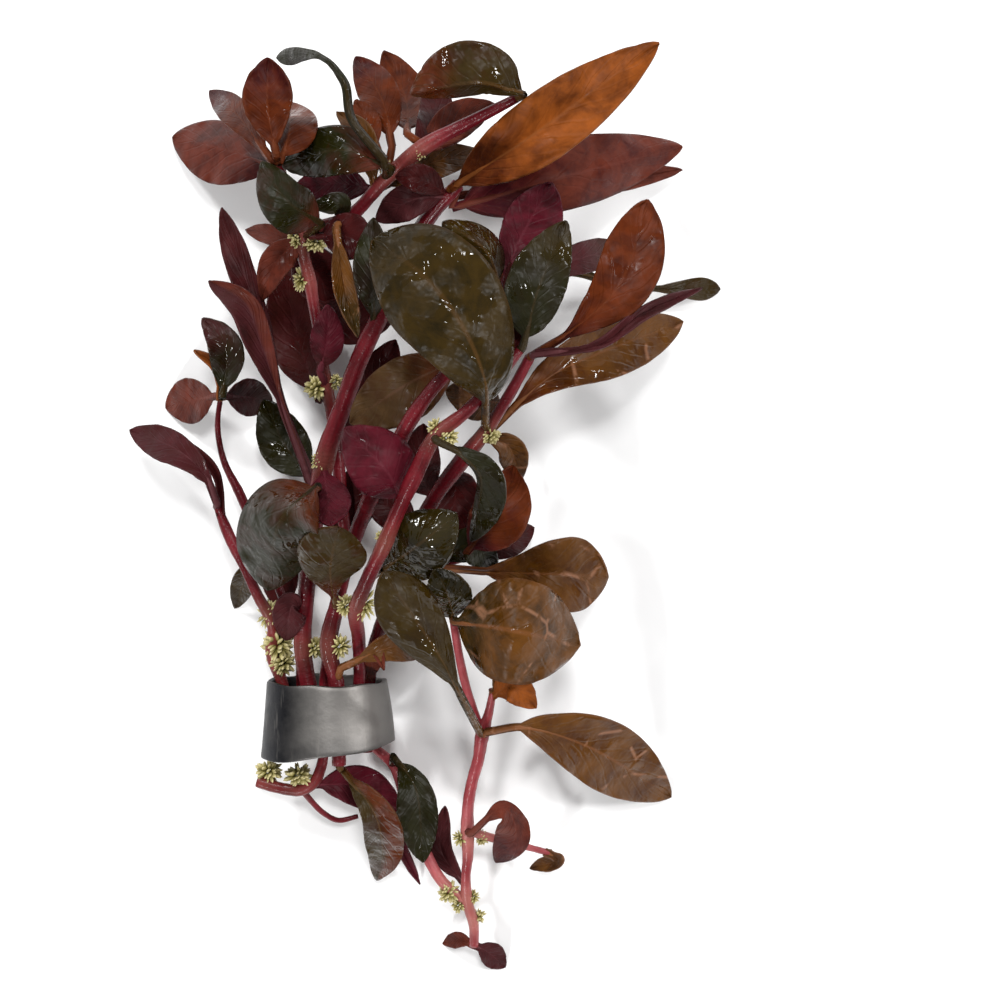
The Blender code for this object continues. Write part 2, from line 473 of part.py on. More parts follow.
def tube_object(name, path, radius, where, colour):
    """A stem: a curve with a round section and filled ends, made a mesh so that it can be joined."""
    curve = bpy.data.curves.new(name, "CURVE")
    curve.dimensions = "3D"
    curve.bevel_depth = 1.0
    curve.bevel_resolution = 2
    curve.use_fill_caps = True
    line = curve.splines.new("POLY")
    line.points.add(len(path) - 1)
    for point, p, r in zip(line.points, path, radius):
        point.co = (*(spot(*p) * MM), 1)
        point.radius = r * MM
    made = bpy.data.objects.new(name + "_line", curve)
    where.objects.link(made)
    bpy.context.view_layer.update()
    mesh = bpy.data.meshes.new_from_object(made.evaluated_get(bpy.context.evaluated_depsgraph_get()))
    bpy.data.objects.remove(made)
    bm = bmesh.new()
    bm.from_mesh(mesh)
    bmesh.ops.remove_doubles(bm, verts=bm.verts, dist=1e-6)
    bmesh.ops.recalc_face_normals(bm, faces=bm.faces)
    bm.to_mesh(mesh)
    bm.free()
    return add_object(name, mesh, where, colour)


def cluster_object(name, place, width, stretch, many, where, colour):
    """A flower cluster: a ball whose corners stand out as the points of its bracts."""
    bm = bmesh.new()
    bmesh.ops.create_icosphere(bm, subdivisions=2 if many else 1, radius=1)
    r = width * PLAN / 2
    for k, vertex in enumerate(bm.verts):
        out = 1.0 if k < 12 else 0.78
        vertex.co = Vector((vertex.co.x * r, vertex.co.y * r * stretch, vertex.co.z * r)) * out
        vertex.co = (vertex.co + place) * MM
    mesh = bpy.data.meshes.new(name)
    bm.to_mesh(mesh)
    bm.free()
    return add_object(name, mesh, where, colour)


def band_object(where, colour):
    """The metal strip: a tapered ring whose two ends lap a little at the back."""
    turns = 30
    bm = bmesh.new()
    bmesh.ops.create_grid(bm, x_segments=turns, y_segments=2, size=1)
    for vertex in bm.verts:
        a = (vertex.co.x + 1) / 2
        along = (vertex.co.y + 1) / 2
        turn = math.radians(-100 + a * 384)
        # the strip's start lies inside its end
        inset = BAND_WALL / 2 + 1.7 - 1.7 * min(1.0, a / 0.3)
        x0, y0, wide0, high0 = BAND_TOP
        x1, y1, wide1, high1 = BAND_LOW
        wide = wide0 + (wide1 - wide0) * along - inset
        high = high0 + (high1 - high0) * along - inset
        skew = BAND_SKEW * -math.cos(turn) * along
        dent = 0.25 * math.sin(3 * turn + 1.0) * math.sin(math.pi * along)
        vertex.co = Vector((
            x0 + (x1 - x0) * along + (wide + dent) * math.cos(turn),
            y0 + (y1 - y0) * along - skew,
            BAND_HEIGHT + (high + dent) * math.sin(turn),
        )) * MM
    mesh = bpy.data.meshes.new("band")
    bm.to_mesh(mesh)
    bm.free()
    made = add_object("band", mesh, where, colour)
    solid = made.modifiers.new("wall", "SOLIDIFY")
    solid.thickness = BAND_WALL * MM
    solid.offset = 0
    mesh.shade_smooth()
    return made


def band_cover():
    """The band's outside as plan points and faces, for what is laid on it."""
    points = []
    for x, y, wide, high in (BAND_TOP, BAND_LOW):
        for k in range(24):
            turn = k * math.pi / 12
            z = BAND_HEIGHT + (high + 0.4) * math.sin(turn)
            size = PLAN * (EYE - z) / (EYE - MIDDLE)
            points.append(((x + wide * math.cos(turn)) / size + 500, 500 - y / size, z))
    faces = [(k, (k + 1) % 24, 24 + (k + 1) % 24, 24 + k) for k in range(24)]
    return points, faces


def join(piece, grown, hidden):
    """Grows the small pieces onto a stem with one union."""
    if not grown:
        return
    group = bpy.data.collections.new(piece.name + "_grown")
    hidden.children.link(group)
    for part in grown:
        for home in list(part.users_collection):
            home.objects.unlink(part)
        group.objects.link(part)
        part.hide_render = True
        part.display_type = "WIRE"
    union = piece.modifiers.new("grown", "BOOLEAN")
    union.operation = "UNION"
    union.operand_type = "COLLECTION"
    union.collection = group
    union.solver = "EXACT"


def nearest(path, x, y):
    return path[int(np.argmin(np.hypot(path[:, 0] - x, path[:, 1] - y)))]


def inside(path, x, y):
    """A point on a stem's middle line near a plan point, a little back from the stem's end."""
    k = int(np.argmin(np.hypot(path[:, 0] - x, path[:, 1] - y)))
    if k and np.hypot(*(path[k, :2] - path[k - 1, :2])) < 60:
        return 0.7 * path[k] + 0.3 * path[k - 1]
    return path[k]


for old in list(bpy.data.objects):
    bpy.data.objects.remove(old)
parts = bpy.data.collections.new("alternanthera reineckii")
hidden = bpy.data.collections.new("cutters")
bpy.context.scene.collection.children.link(parts)
bpy.context.scene.collection.children.link(hidden)

metal = material("grey metal", (0.22, 0.22, 0.23), 0.45, 1.0)
stem_red = material("red stem", (0.3, 0.03, 0.04), 0.35)
bract = material("pale bract", (0.42, 0.38, 0.1), 0.6)
leaf_material = {key: material("leaf " + key, value, 0.25) for key, value in LEAF_COLOURS.items()}

pile = Pile()
band_object(parts, metal)
pile.add("band", *band_cover(), False)

laid = set()
paths = {}
for name, (points, widths) in STEMS.items():
    count = max(8, len(points))
    path = smooth_path(points, count)
    along = np.linspace(0, 1, count)
    known = np.linspace(0, 1, len(widths))
    paths[name] = (path, np.interp(along, known, widths) * PLAN / 2)


def place_stem(name):
    path, radius = paths[name]
    lumps = []
    for stem, x, y, width, stretch, many in CLUSTERS:
        if stem == name:
            lumps.append((x, y, width, stretch))
    path = lay_stem(pile, path, radius, lumps, ("band",))
    pieces = [tube_object(name, path, radius, parts, stem_red)]
    covers = [tube_mesh(path, radius)]
    lines = [(path, radius)]
    for stem, points, widths in BRANCHES:
        if stem != name:
            continue
        start = nearest(path, *points[0][:2])
        line = smooth_path([tuple(start)] + points[1:], len(points) + 1)
        thick = np.interp(np.linspace(0, 1, len(line)), np.linspace(0, 1, len(widths)), widths) * PLAN / 2
        line = lay_stem(pile, line, thick, [], (name, "band"))
        line[0] = start + (0.7, 0.4, 0.13)
        pieces.append(tube_object(name + "_branch", line, thick, parts, stem_red))
        covers.append(tube_mesh(line, thick))
        lines.append((line, thick))
    every = np.vstack([line for line, _ in lines])
    reach = np.concatenate([thick for _, thick in lines])
    for stem, x, y, width, stretch, many in CLUSTERS:
        if stem != name:
            continue
        k, x, y = cluster_place(every, reach, x, y, width)
        z = max(every[k, 2], width * PLAN / 2)
        pieces.append(cluster_object(name + "_cluster", spot(x, y, z), width, stretch, many, parts, bract))
        ball = bpy.data.objects[pieces[-1].name].data
        flat = []
        for vertex in ball.vertices:
            px, py, pz = vertex.co / MM
            size = PLAN * (EYE - pz) / (EYE - MIDDLE)
            flat.append((px / size + 500, 500 - py / size, pz))
        covers.append((flat, [tuple(face.vertices) for face in ball.polygons]))
    leaves = []
    for stem, midrib, width, colour in SMALL:
        if stem != name:
            continue
        start = inside(every, *midrib[0][:2])
        start = tuple(start + (0.2, 0.3, 0.07))
        grid = leaf_grid([start] + midrib[1:], width, 0.5, 0.1, 1, 1, 1, 0.3, 4, 3)
        grid = lay_leaf(pile, grid, (name,), True)
        leaves.append(leaf_object(name + "_leaf", grid, parts, leaf_material[colour]))
        order = []
        rows, columns, _ = grid.shape
        for i in range(rows - 1):
            for j in range(columns - 1):
                a = i * columns + j
                order.append((a, a + 1, a + columns + 1, a + columns))
        covers.append((grid.reshape(-1, 3), order))
    for points, faces in covers:
        pile.add(name, points, faces, True)
    paths[name] = (every, reach)
    join(pieces[0], pieces[1:] + leaves, hidden)


for entry in ORDER:
    if len(entry) == 1:
        place_stem(entry[0])
        laid.add(entry[0])
        continue
    name, stem, midrib, width, widest, stalk, left, right, lift, wave, colour = entry
    start = nearest(paths[stem][0], *midrib[0][:2])
    # a leaf under its stem starts at the stem's underside
    height = start[2] if stem in laid else start[2] - 2.2
    midrib = [(midrib[0][0], midrib[0][1], height)] + midrib[1:]
    big = width >= 66
    grid = leaf_grid(midrib, width, widest, stalk, left, right, lift, wave, 8 if big else 6, 5 if big else 3)
    grid = lay_leaf(pile, grid)
    leaf_object(name, grid, parts, leaf_material[colour])
    rows, columns, _ = grid.shape
    faces = []
    for i in range(rows - 1):
        for j in range(columns - 1):
            a = i * columns + j
            faces.append((a, a + 1, a + columns + 1, a + columns))
    pile.add(name, grid.reshape(-1, 3), faces, True)

bpy.context.view_layer.update()
depsgraph = bpy.context.evaluated_depsgraph_get()
low = Vector((1e9, 1e9, 1e9))
high = -low
for piece in parts.objects:
    for corner in piece.evaluated_get(depsgraph).bound_box:
        low = Vector(map(min, low, corner))
        high = Vector(map(max, high, corner))
shift = Vector((-(low.x + high.x) / 2, -(low.y + high.y) / 2, -low.z))
for piece in parts.objects:
    piece.location = shift
for group in hidden.children:
    for piece in group.objects:
        piece.location = shift
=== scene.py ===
import math
import random

import bmesh
import bpy
import numpy as np
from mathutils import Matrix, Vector
from mathutils.bvhtree import BVHTree

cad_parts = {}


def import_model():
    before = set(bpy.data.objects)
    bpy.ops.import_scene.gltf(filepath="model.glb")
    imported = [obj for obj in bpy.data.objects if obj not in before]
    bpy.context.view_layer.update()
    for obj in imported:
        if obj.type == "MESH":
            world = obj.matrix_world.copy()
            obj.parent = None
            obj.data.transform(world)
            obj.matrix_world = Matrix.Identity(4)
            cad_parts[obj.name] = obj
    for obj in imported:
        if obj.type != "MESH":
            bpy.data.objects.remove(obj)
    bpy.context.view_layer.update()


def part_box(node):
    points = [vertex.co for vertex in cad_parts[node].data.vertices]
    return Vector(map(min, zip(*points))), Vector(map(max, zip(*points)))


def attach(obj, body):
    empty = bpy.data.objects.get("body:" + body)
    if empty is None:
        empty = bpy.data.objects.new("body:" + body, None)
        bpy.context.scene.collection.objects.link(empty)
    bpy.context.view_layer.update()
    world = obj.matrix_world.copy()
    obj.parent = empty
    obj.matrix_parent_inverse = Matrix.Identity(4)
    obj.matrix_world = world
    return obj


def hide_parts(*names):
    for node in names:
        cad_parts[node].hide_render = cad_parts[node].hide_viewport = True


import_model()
random.seed(7)

mm = 0.001  # in metres

# the plan that the bunch is laid out on, as the camera sees it: 1000 by 1000 units, middle (500, 500)
plan = {
    "unit": 0.2,  # mm for one plan unit at the middle height
    "eye": 345.0,  # height of the camera over the surface, mm
    "middle": 25.0,  # the height at which the plan is true, mm
}

# how the solids were laid, each on what lies under it; lengths in mm
pile = {
    "leaf": 0.6,  # the leaves' thickness
    "gap": 0.35,  # least gap between two pieces
    "above": 200.0,  # height from which the pile is felt
    "steepest": (3.5, 3.0),  # most that a slope adds to the thickness of the leaf below and above
    "large": 66,  # the width, in plan units, from which a leaf has the large grid
    "grids": ((8, 5), (6, 3), (4, 3)),  # rows and columns of large, small and young leaves
    "leafFeel": (6, (-0.12, 0.2, 0.5, 0.8, 1.12)),  # places along and across a square of the grid
    "leafSmooth": (60, 0.96),  # rounds, and the share of a rise that reaches the neighbours
    "stemFeel": (5, (-1.12, -0.6, 0, 0.6, 1.12)),  # places along and across a part of a stem
    "stemSmooth": (80, 0.985),
    "flowerFeel": ((0, 0.5, 0.85, 1.1), 10),  # rings, for the half width, and places on each
    "flowerOut": (0.4, 0.5),  # how far from its stem a cluster may sit, for its width and the radius
    "dimple": 0.78,  # of a cluster's half width
    "before": (60, 0.3),  # on parts up to this long a young leaf starts this far before the ring
    "sides": 8,  # of a stem
    "cover": (1.09, 1.06),  # how far a stem's sides stand out, sideways and upwards
    "sunk": 2.2,  # how far down a leaf starts in a stem that is laid after it
    "branchRoot": (0.7, 0.4, 0.13),  # shift of a side branch's first point
    "youngRoot": (0.2, 0.3, 0.07),
    "youngShape": (0.5, 0.1, 1, 1, 1, 0.3),  # what follows the width in a grown leaf's row
}

# the metal strip; lengths in mm
band = {
    "wall": 1.1,
    "top": (-35.75, -37.3, 12.5, 12.0),  # rim towards the tips: x, y, half width, half height
    "low": (-35.5, -51.6, 14.0, 13.2),  # rim towards the cut ends
    "height": 13.2,
    "skew": 1.7,
    "sides": 24,  # of the solid ring that the pile lies on
    "room": 0.4,  # added to its half height
    "steps": (150, 14),  # along the strip and across it
    "start": -100,  # degrees from +X at which the strip begins
    "sweep": 384,  # degrees that it goes round
    "tuck": (1.7, 0.3),  # how far in its covered end lies, and the share of the strip that it takes
    "dents": (0.22, 0.05),  # depth of the wide ones and of the narrow ones
    "rims": (0.18, 0.2),  # unevenness of the two rims
    "lowest": 0.6,  # least height of the wall's middle over the surface
    "rounding": 0.3,
    "leftShade": (-9.5, -1.0),  # painted shade up to here and none from here, from the middle
    "foot": (-3.0, 5.0),  # darker again between these, from the lower rim
}

stemLines = {
    "stem_left_shoot": (
        [(305, 752, 7), (300, 690, 8), (300, 645, 9), (285, 605, 10), (268, 560, 11), (250, 520, 12),
         (237, 487, 13), (222, 457, 14), (217, 440, 15), (219, 410, 17), (222, 390, 19)],
        [9, 9, 9, 9, 9, 9, 9, 10, 7, 6, 5],
    ),
    "stem_back": (
        [(327, 752, 7), (325, 690, 8), (334, 620, 10), (345, 560, 12), (341, 500, 15), (335, 430, 17),
         (328, 395, 19), (318, 330, 23), (305, 250, 28), (303, 238, 29), (330, 226, 30),
         (352, 215, 32), (385, 180, 35), (395, 165, 36), (440, 138, 39), (517, 98, 43)],
        [14, 14, 14, 13, 13, 13, 14, 12, 11, 12, 12, 13, 13, 15, 12, 9],
    ),
    "stem_left": (
        [(288, 752, 12), (284, 690, 13), (272, 655, 14), (275, 632, 15), (262, 605, 17), (250, 580, 18),
         (235, 548, 19), (222, 522, 20), (217, 506, 20)],
        [11, 11, 11, 12, 11, 11, 10, 12, 8],
    ),
    "stem_stub": (
        [(258, 781, 10), (285, 789, 11), (308, 788, 12), (318, 775, 12), (323, 758, 12), (325, 738, 12)],
        [12, 12, 12, 11, 11, 10],
    ),
    "stem_loose": (
        [(474, 945, 7), (474, 930, 9), (472, 915, 11), (465, 893, 13), (467, 868, 15), (468, 845, 17),
         (467, 820, 18), (470, 790, 20), (478, 760, 22), (483, 730, 24), (490, 708, 26), (493, 690, 28)],
        [10, 10, 11, 10, 11, 13, 12, 12, 12, 14, 9, 7],
    ),
    "stem_right": (
        [(366, 752, 10), (367, 690, 10.5), (374, 650, 13), (385, 615, 18), (408, 560, 22), (425, 512, 26),
         (455, 470, 30), (470, 450, 32), (485, 432, 34), (500, 410, 35), (515, 385, 36), (530, 357, 37)],
        [13, 14, 15, 15, 14, 15, 15, 15, 17, 12, 11, 10],
    ),
    "stem_thick": (
        [(312, 752, 17), (310, 690, 17), (302, 640, 18), (308, 580, 20), (315, 520, 22), (320, 480, 24),
         (330, 440, 27), (345, 400, 29), (365, 345, 31), (380, 315, 32), (400, 270, 31),
         (430, 215, 29), (458, 185, 27)],
        [16, 17, 17, 17, 17, 18, 19, 18, 18, 18, 17, 16, 14],
    ),
    "stem_middle": (
        [(339, 765, 16), (337, 690, 17), (328, 652, 18), (330, 630, 18), (336, 605, 19), (345, 570, 21),
         (358, 528, 23), (375, 488, 26), (395, 450, 28), (415, 412, 31), (435, 386, 32),
         (458, 362, 33), (480, 320, 31), (500, 288, 29)],
        [14, 15, 16, 16, 14, 14, 15, 17, 16, 15, 13, 12, 11, 10],
    ),
    "stem_front": (
        [(358, 752, 15), (358, 690, 15.5), (360, 650, 17.5), (356, 606, 28), (375, 565, 33), (390, 530, 36),
         (405, 495, 39), (420, 465, 41), (435, 437, 42), (455, 420, 43), (480, 400, 44),
         (500, 375, 44), (520, 350, 43)],
        [12, 12, 12, 14, 14, 14, 14, 14, 16, 13, 12, 11, 9],
    ),
}

# side branches, grown from their stems: points (the first one's height is the stem's) and widths
branchLines = {
    "stem_back": [
        ([(303, 238, 29), (290, 200, 31), (278, 160, 33)], [10, 9, 7]),
    ],
    "stem_loose": [
        ([(465, 898, 13), (445, 885, 13), (425, 852, 12), (410, 815, 11), (396, 770, 10),
          (372, 745, 6), (352, 722, 5)],
         [8, 11, 13, 12, 11, 10, 9]),
        ([(483, 730, 24), (464, 680, 24), (453, 618, 25)], [9, 9, 8]),
        ([(469, 838, 17), (500, 840, 16), (520, 845, 14), (550, 853, 9)], [8, 8, 7, 7]),
    ],
    "stem_right": [
        ([(404, 568, 21), (430, 567, 19), (468, 556, 17)], [9, 9, 8]),
    ],
    "stem_stub": [
        ([(308, 788, 12), (318, 808, 8), (336, 820, 5), (358, 816, 4)], [7, 6, 6, 5]),
    ],
}

# spiky flower clusters on each stem: plan x, plan y, width, lengthening along y, many-pointed or not
flowerSpots = {
    "stem_back": [
        (287, 232, 17, 1.0, 0), (287, 250, 14, 1.0, 0), (284, 268, 18, 1.4, 0), (313, 250, 14, 1.0, 0),
        (335, 248, 24, 0.9, 1), (388, 157, 14, 1.3, 0), (410, 166, 13, 1.0, 0), (317, 388, 26, 1.0, 1),
        (338, 380, 16, 1.1, 0),
    ],
    "stem_thick": [
        (316, 465, 15, 1.5, 0), (314, 648, 21, 1.1, 0),
    ],
    "stem_front": [
        (437, 422, 17, 1.2, 0), (456, 437, 22, 0.9, 1), (344, 604, 18, 1.3, 0), (368, 600, 20, 1.6, 0),
        (379, 530, 12, 1.1, 0),
    ],
    "stem_right": [
        (490, 436, 20, 0.8, 1),
    ],
    "stem_left": [
        (267, 610, 20, 1.6, 0), (284, 664, 26, 1.0, 0), (278, 645, 34, 1.1, 1),
    ],
    "stem_left_shoot": [
        (290, 625, 20, 1.3, 0),
    ],
    "stem_middle": [
        (343, 647, 22, 1.1, 1),
    ],
    "stem_stub": [
        (269, 771, 28, 0.9, 1), (296, 768, 28, 0.9, 0),
    ],
    "stem_loose": [
        (456, 843, 16, 1.1, 0), (479, 838, 16, 1.0, 0), (479, 890, 14, 1.0, 0), (477, 916, 18, 0.8, 0),
        (449, 893, 22, 1.1, 0), (450, 908, 16, 1.0, 0), (502, 858, 13, 1.4, 0),
    ],
}

# Leaves in the order they lie, lowest first, with the stems among them. For a leaf: the stem it
# grows on, its midrib (the first height is the stem's), its width, where it is widest, how much of
# its length is stalk, the left and right halves' share of the width as seen, edge lift, wave, and
# its looks: skin towards the camera, skin of its other side, second colour and where that lies
layOrder = [
    ("leaf_back_dark", "stem_back", [(319, 401, 0), (299, 340, 5), (281, 262, 3)],
     60, .5, .1, 1, 1, 1, .5, ("dark", "mauve", "red", "")),
    ("leaf_tip_low", "stem_back", [(283, 172, 0), (235, 153, 18), (173, 137, 3)],
     72, .5, .08, 1, .76, -2, .5, ("red", "mauve", "dark", "base")),
    ("leaf_side_low", "stem_left_shoot", [(218, 396, 0), (194, 400, 9), (166, 407, .3)],
     46, .5, .1, 1, 1, -1, .5, ("red", "dark", "mauve", "")),
    ("leaf_side_inner", "stem_left_shoot", [(222, 396, 0), (246, 397, 9), (272, 402, .3)],
     38, .5, .1, 1, 1, 1, .3, ("mauve", "mauve", "underside", "tip")),
    ("leaf_crown_left", "stem_back", [(407, 134, 0), (406, 100, 18), (384, 51, 10)],
     50, .5, .1, 1, 1, 1, .6, ("rust", "red", "dark", "")),
    ("leaf_crown_back", "stem_back", [(392, 147, 0), (382, 100, 31), (356, 57, 22)],
     40, .46, .1, 1, 1, -1, .6, ("rust", "red", "dark", "tip")),
    ("leaf_crown_small", "stem_back", [(378, 150, 0), (368, 125, 32), (356, 100, 30)],
     28, .5, .1, 1, 1, 0, .2, ("rust", "red", "dark", "")),
    ("stem_left_shoot",),
    ("leaf_left_inner", "stem_thick", [(314, 481, 0), (285, 445, 12), (264, 400, 8)],
     50, .5, .1, 1, 1, 1, .6, ("green", "mauve", "olive", "")),
    ("leaf_left_far", "stem_thick",
     [(315, 481, 0), (285, 410, 20), (268, 340, 25), (243, 272, 24), (222, 208, 18)],
     30, .68, .3, 1, .8, 1, .7, ("mauve", "underside", "dark", "tip")),
    ("leaf_left_near", "stem_thick",
     [(310, 483, 0), (280, 400, 22), (263, 350, 28), (245, 305, 29), (209, 281, 24)],
     34, .62, .3, 1, .8, 2, 1.2, ("mauve", "underside", "red", "right")),
    ("leaf_side_up", "stem_left_shoot", [(222, 398, 0), (226, 350, 25), (203, 318, 24)],
     35, .5, .1, 1, 1, 1, .5, ("green", "underside", "mauve", "tip")),
    ("stem_back",),
    ("stem_left",),
    ("leaf_bridge", "stem_back", [(392, 168, 0), (340, 150, 42), (283, 167, 34)],
     50, .5, .08, 1, 1, -2, .4, ("green", "underside", "red", "base")),
    ("leaf_left_out", "stem_left", [(217, 503, 0), (205, 476, 23), (178, 450, 24), (130, 430, 14)],
     36, .58, .12, 1, .9, 2, .6, ("mauve", "underside", "red", "")),
    ("leaf_tip_right", "stem_back", [(279, 163, 0), (290, 132, 30), (289, 102, 20)],
     54, .45, .1, .9, 1, -2, .6, ("rust", "mauve", "dark", "")),
    ("leaf_tip_left", "stem_back", [(274, 163, 0), (240, 118, 30), (210, 91, 17)],
     30, .5, .1, 1, 1, 1, .4, ("rust", "mauve", "mauve", "tip")),
    ("leaf_tip_up", "stem_back", [(277, 158, 0), (268, 110, 40), (268, 58, 44)],
     50, .6, .1, 1, 1, 2, .6, ("rust", "mauve", "dark", "tip")),
    ("leaf_curl_over", "stem_back",
     [(384, 160, 0), (352, 120, 42), (344, 82, 47), (318, 56, 44), (277, 58, 32)],
     17, .78, .45, 1, 1, -1, .3, ("green", "underside", "underside", "")),
    ("leaf_crown_olive", "stem_back", [(524, 95, 0), (480, 82, 50), (411, 94, 44)],
     84, .52, .03, .3, 1, 2, 1, ("olive", "gold", "rust", "tip")),
    ("leaf_centre_dark", "stem_back", [(316, 236, 0), (345, 236, 34), (374, 247, 38)],
     48, .5, .1, 1, 1, 1, .4, ("dark", "mauve", "mauve", "")),
    ("leaf_centre_gold", "stem_back", [(336, 226, 0), (344, 285, 36), (358, 337, 39)],
     22, .5, .1, 1, 1, 1, .4, ("gold", "red", "olive", "tip")),
    ("leaf_centre_plum", "stem_back", [(320, 372, 0), (327, 342, 29), (328, 305, 36)],
     34, .5, .1, 1, 1, -1, .4, ("crimson", "mauve", "dark", "base")),
    ("leaf_under_right", "stem_thick", [(452, 196, 0), (560, 186, 22), (682, 170, 3)],
     26, .6, .1, 1, 1, 1, .4, ("red", "crimson", "mauve", "")),
    ("leaf_mauve_big", "stem_thick", [(452, 208, 0), (556, 179, 30), (682, 147, 8)],
     73, .42, .05, 1, .9, -3, 1, ("red", "mauve", "crimson", "base")),
    ("leaf_right_stalked", "stem_middle", [(500, 289, 0), (568, 272, 25), (630, 287, 16), (720, 289, .4)],
     23, .8, .52, 1, 1, 1, .4, ("olive", "underside", "gold", "")),
    ("leaf_right_pink", "stem_middle", [(502, 287, 0), (570, 262, 28), (626, 245, 14)],
     32, .55, .1, 1, 1, 1, .5, ("mauve", "underside", "underside", "tip")),
    ("stem_stub",),
    ("stem_loose",),
    ("leaf_below_green", "stem_loose", [(393, 756, 0), (416, 790, 12), (423, 862, 3)],
     46, .5, .08, .8, 1, 2, .7, ("green", "mauve", "olive", "")),
    ("leaf_below_olive", "stem_middle", [(341, 769, 0), (373, 810, 20), (383, 850, 10), (377, 880, .6)],
     44, .55, .06, 1, .8, 2, 1, ("olive", "red", "rust", "left")),
    ("leaf_right_gold", "stem_right", [(487, 434, 0), (545, 380, 34), (605, 351, 28), (683, 322, 14)],
     58, .58, .14, 1, 1, 1, 1, ("gold", "underside", "rust", "base")),
    ("stem_right",),
    ("stem_thick",),
    ("leaf_centre_tan", "stem_middle", [(460, 360, 0), (406, 385, 38), (350, 423, 34)],
     72, .52, .05, 1, .8, 2, .7, ("tan", "underside", "rust", "base")),
    ("leaf_left_olive", "stem_thick", [(318, 486, 0), (280, 522, 36), (268, 590, 22)],
     86, .5, .04, 1, .9, -4, 1, ("green", "red", "rust", "base")),
    ("stem_middle",),
    ("leaf_orange_big", "stem_thick", [(450, 189, 0), (538, 131, 38), (659, 43, 34)],
     68, .46, .05, 1, 1, 3, 1.2, ("orange", "red", "rust", "base")),
    ("leaf_purple_fold", "stem_middle", [(502, 290, 0), (520, 240, 38), (552, 183, 32)],
     66, .55, .1, .75, 1, 3, .8, ("crimson", "mauve", "dark", "")),
    ("leaf_top_fold", "stem_middle", [(499, 290, 0), (485, 250, 42), (443, 222, 44)],
     48, .5, .1, 1, .7, -4, .7, ("olive", "crimson", "mauve", "")),
    ("leaf_right_spoon", "stem_right", [(436, 568, 0), (500, 572, 22), (560, 574, 26), (608, 577, 18)],
     75, .68, .2, 1, 1, 3, 1, ("gold", "mauve", "rust", "base")),
    ("leaf_right_shadow", "stem_right", [(466, 553, 0), (500, 512, 30), (513, 466, 24)],
     60, .5, .08, .9, 1, 3, .8, ("rust", "mauve", "crimson", "base")),
    ("leaf_front_glossy", "stem_front", [(382, 570, 0), (417, 546, 42), (457, 514, 44)],
     68, .55, .04, 1, 1, -4, .8, ("glossy", "mauve", "green", "")),
    ("leaf_front_blunt", "stem_middle", [(336, 606, 0), (330, 570, 38), (338, 527, 46)],
     69, .72, .08, 1, 1, -3, .8, ("olive", "mauve", "red", "base")),
    ("leaf_magenta", "stem_front", [(403, 500, 0), (384, 468, 46), (345, 428, 42)],
     66, .5, .06, 1, 1, -3, .6, ("crimson", "olive", "mauve", "")),
    ("stem_front",),
    ("leaf_front_arch", "stem_front", [(437, 441, 0), (463, 456, 50), (482, 482, 46), (471, 541, 30)],
     50, .52, .14, 1, .2, 1, .5, ("green", "mauve", "olive", "")),
    ("leaf_low_yellow", "stem_middle", [(341, 668, 0), (388, 648, 28), (438, 641, 14)],
     34, .55, .15, 1, 1, 1, .5, ("gold", "red", "rust", "")),
    ("leaf_right_brown", "stem_right", [(531, 356, 0), (580, 325, 44), (622, 280, 48), (648, 200, 44)],
     66, .62, .18, .9, 1, 3, .9, ("rust", "red", "dark", "base")),
    ("leaf_right_green", "stem_front", [(523, 347, 0), (538, 290, 50), (566, 221, 46)],
     66, .44, .08, 1, .8, 3, 1, ("green", "mauve", "olive", "tip")),
    ("leaf_twisted", "stem_right", [(535, 354, 0), (598, 345, 46), (645, 312, 48), (702, 288, 40)],
     14, .6, .1, 1, 1, 1, .8, ("mauve", "gold", "underside", "")),
    ("leaf_big_glossy", "stem_right",
     [(485, 424, 0), (484, 378, 52), (460, 322, 57), (421, 274, 57), (372, 240, 49)],
     114, .6, .16, 1, 1, -4, 1.3, ("olive", "mauve", "green", "")),
    ("leaf_tip_front", "stem_back", [(322, 224, 0), (286, 200, 46), (262, 162, 44)],
     56, .5, .08, 1, .8, -2, .6, ("green", "mauve", "red", "base")),
    ("leaf_low_green", "stem_loose", [(454, 620, 0), (448, 596, 34), (436, 568, 38)],
     48, .5, .08, 1, 1, 1, .4, ("glossy", "mauve", "green", "")),
    ("leaf_front_gold", "stem_loose", [(453, 621, 0), (515, 631, 42), (580, 645, 28)],
     105, .5, .05, 1, 1, -4, 1.1, ("gold", "underside", "olive", "base")),
    ("leaf_front_long", "stem_loose", [(479, 730, 0), (459, 692, 40), (434, 648, 48), (383, 572, 50)],
     64, .7, .36, 1, .9, -3, 1, ("olive", "red", "tan", "")),
    ("leaf_loose_gold", "stem_loose", [(486, 732, 0), (530, 728, 30), (595, 750, 22), (671, 797, .8)],
     70, .5, .16, 1, 1, 3, 1, ("gold", "underside", "rust", "")),
    ("leaf_loose_curl", "stem_loose", [(470, 834, 0), (502, 808, 24), (516, 835, 14), (496, 862, 2)],
     42, .6, .1, .7, 1, 1, .8, ("red", "underside", "mauve", "tip")),
]

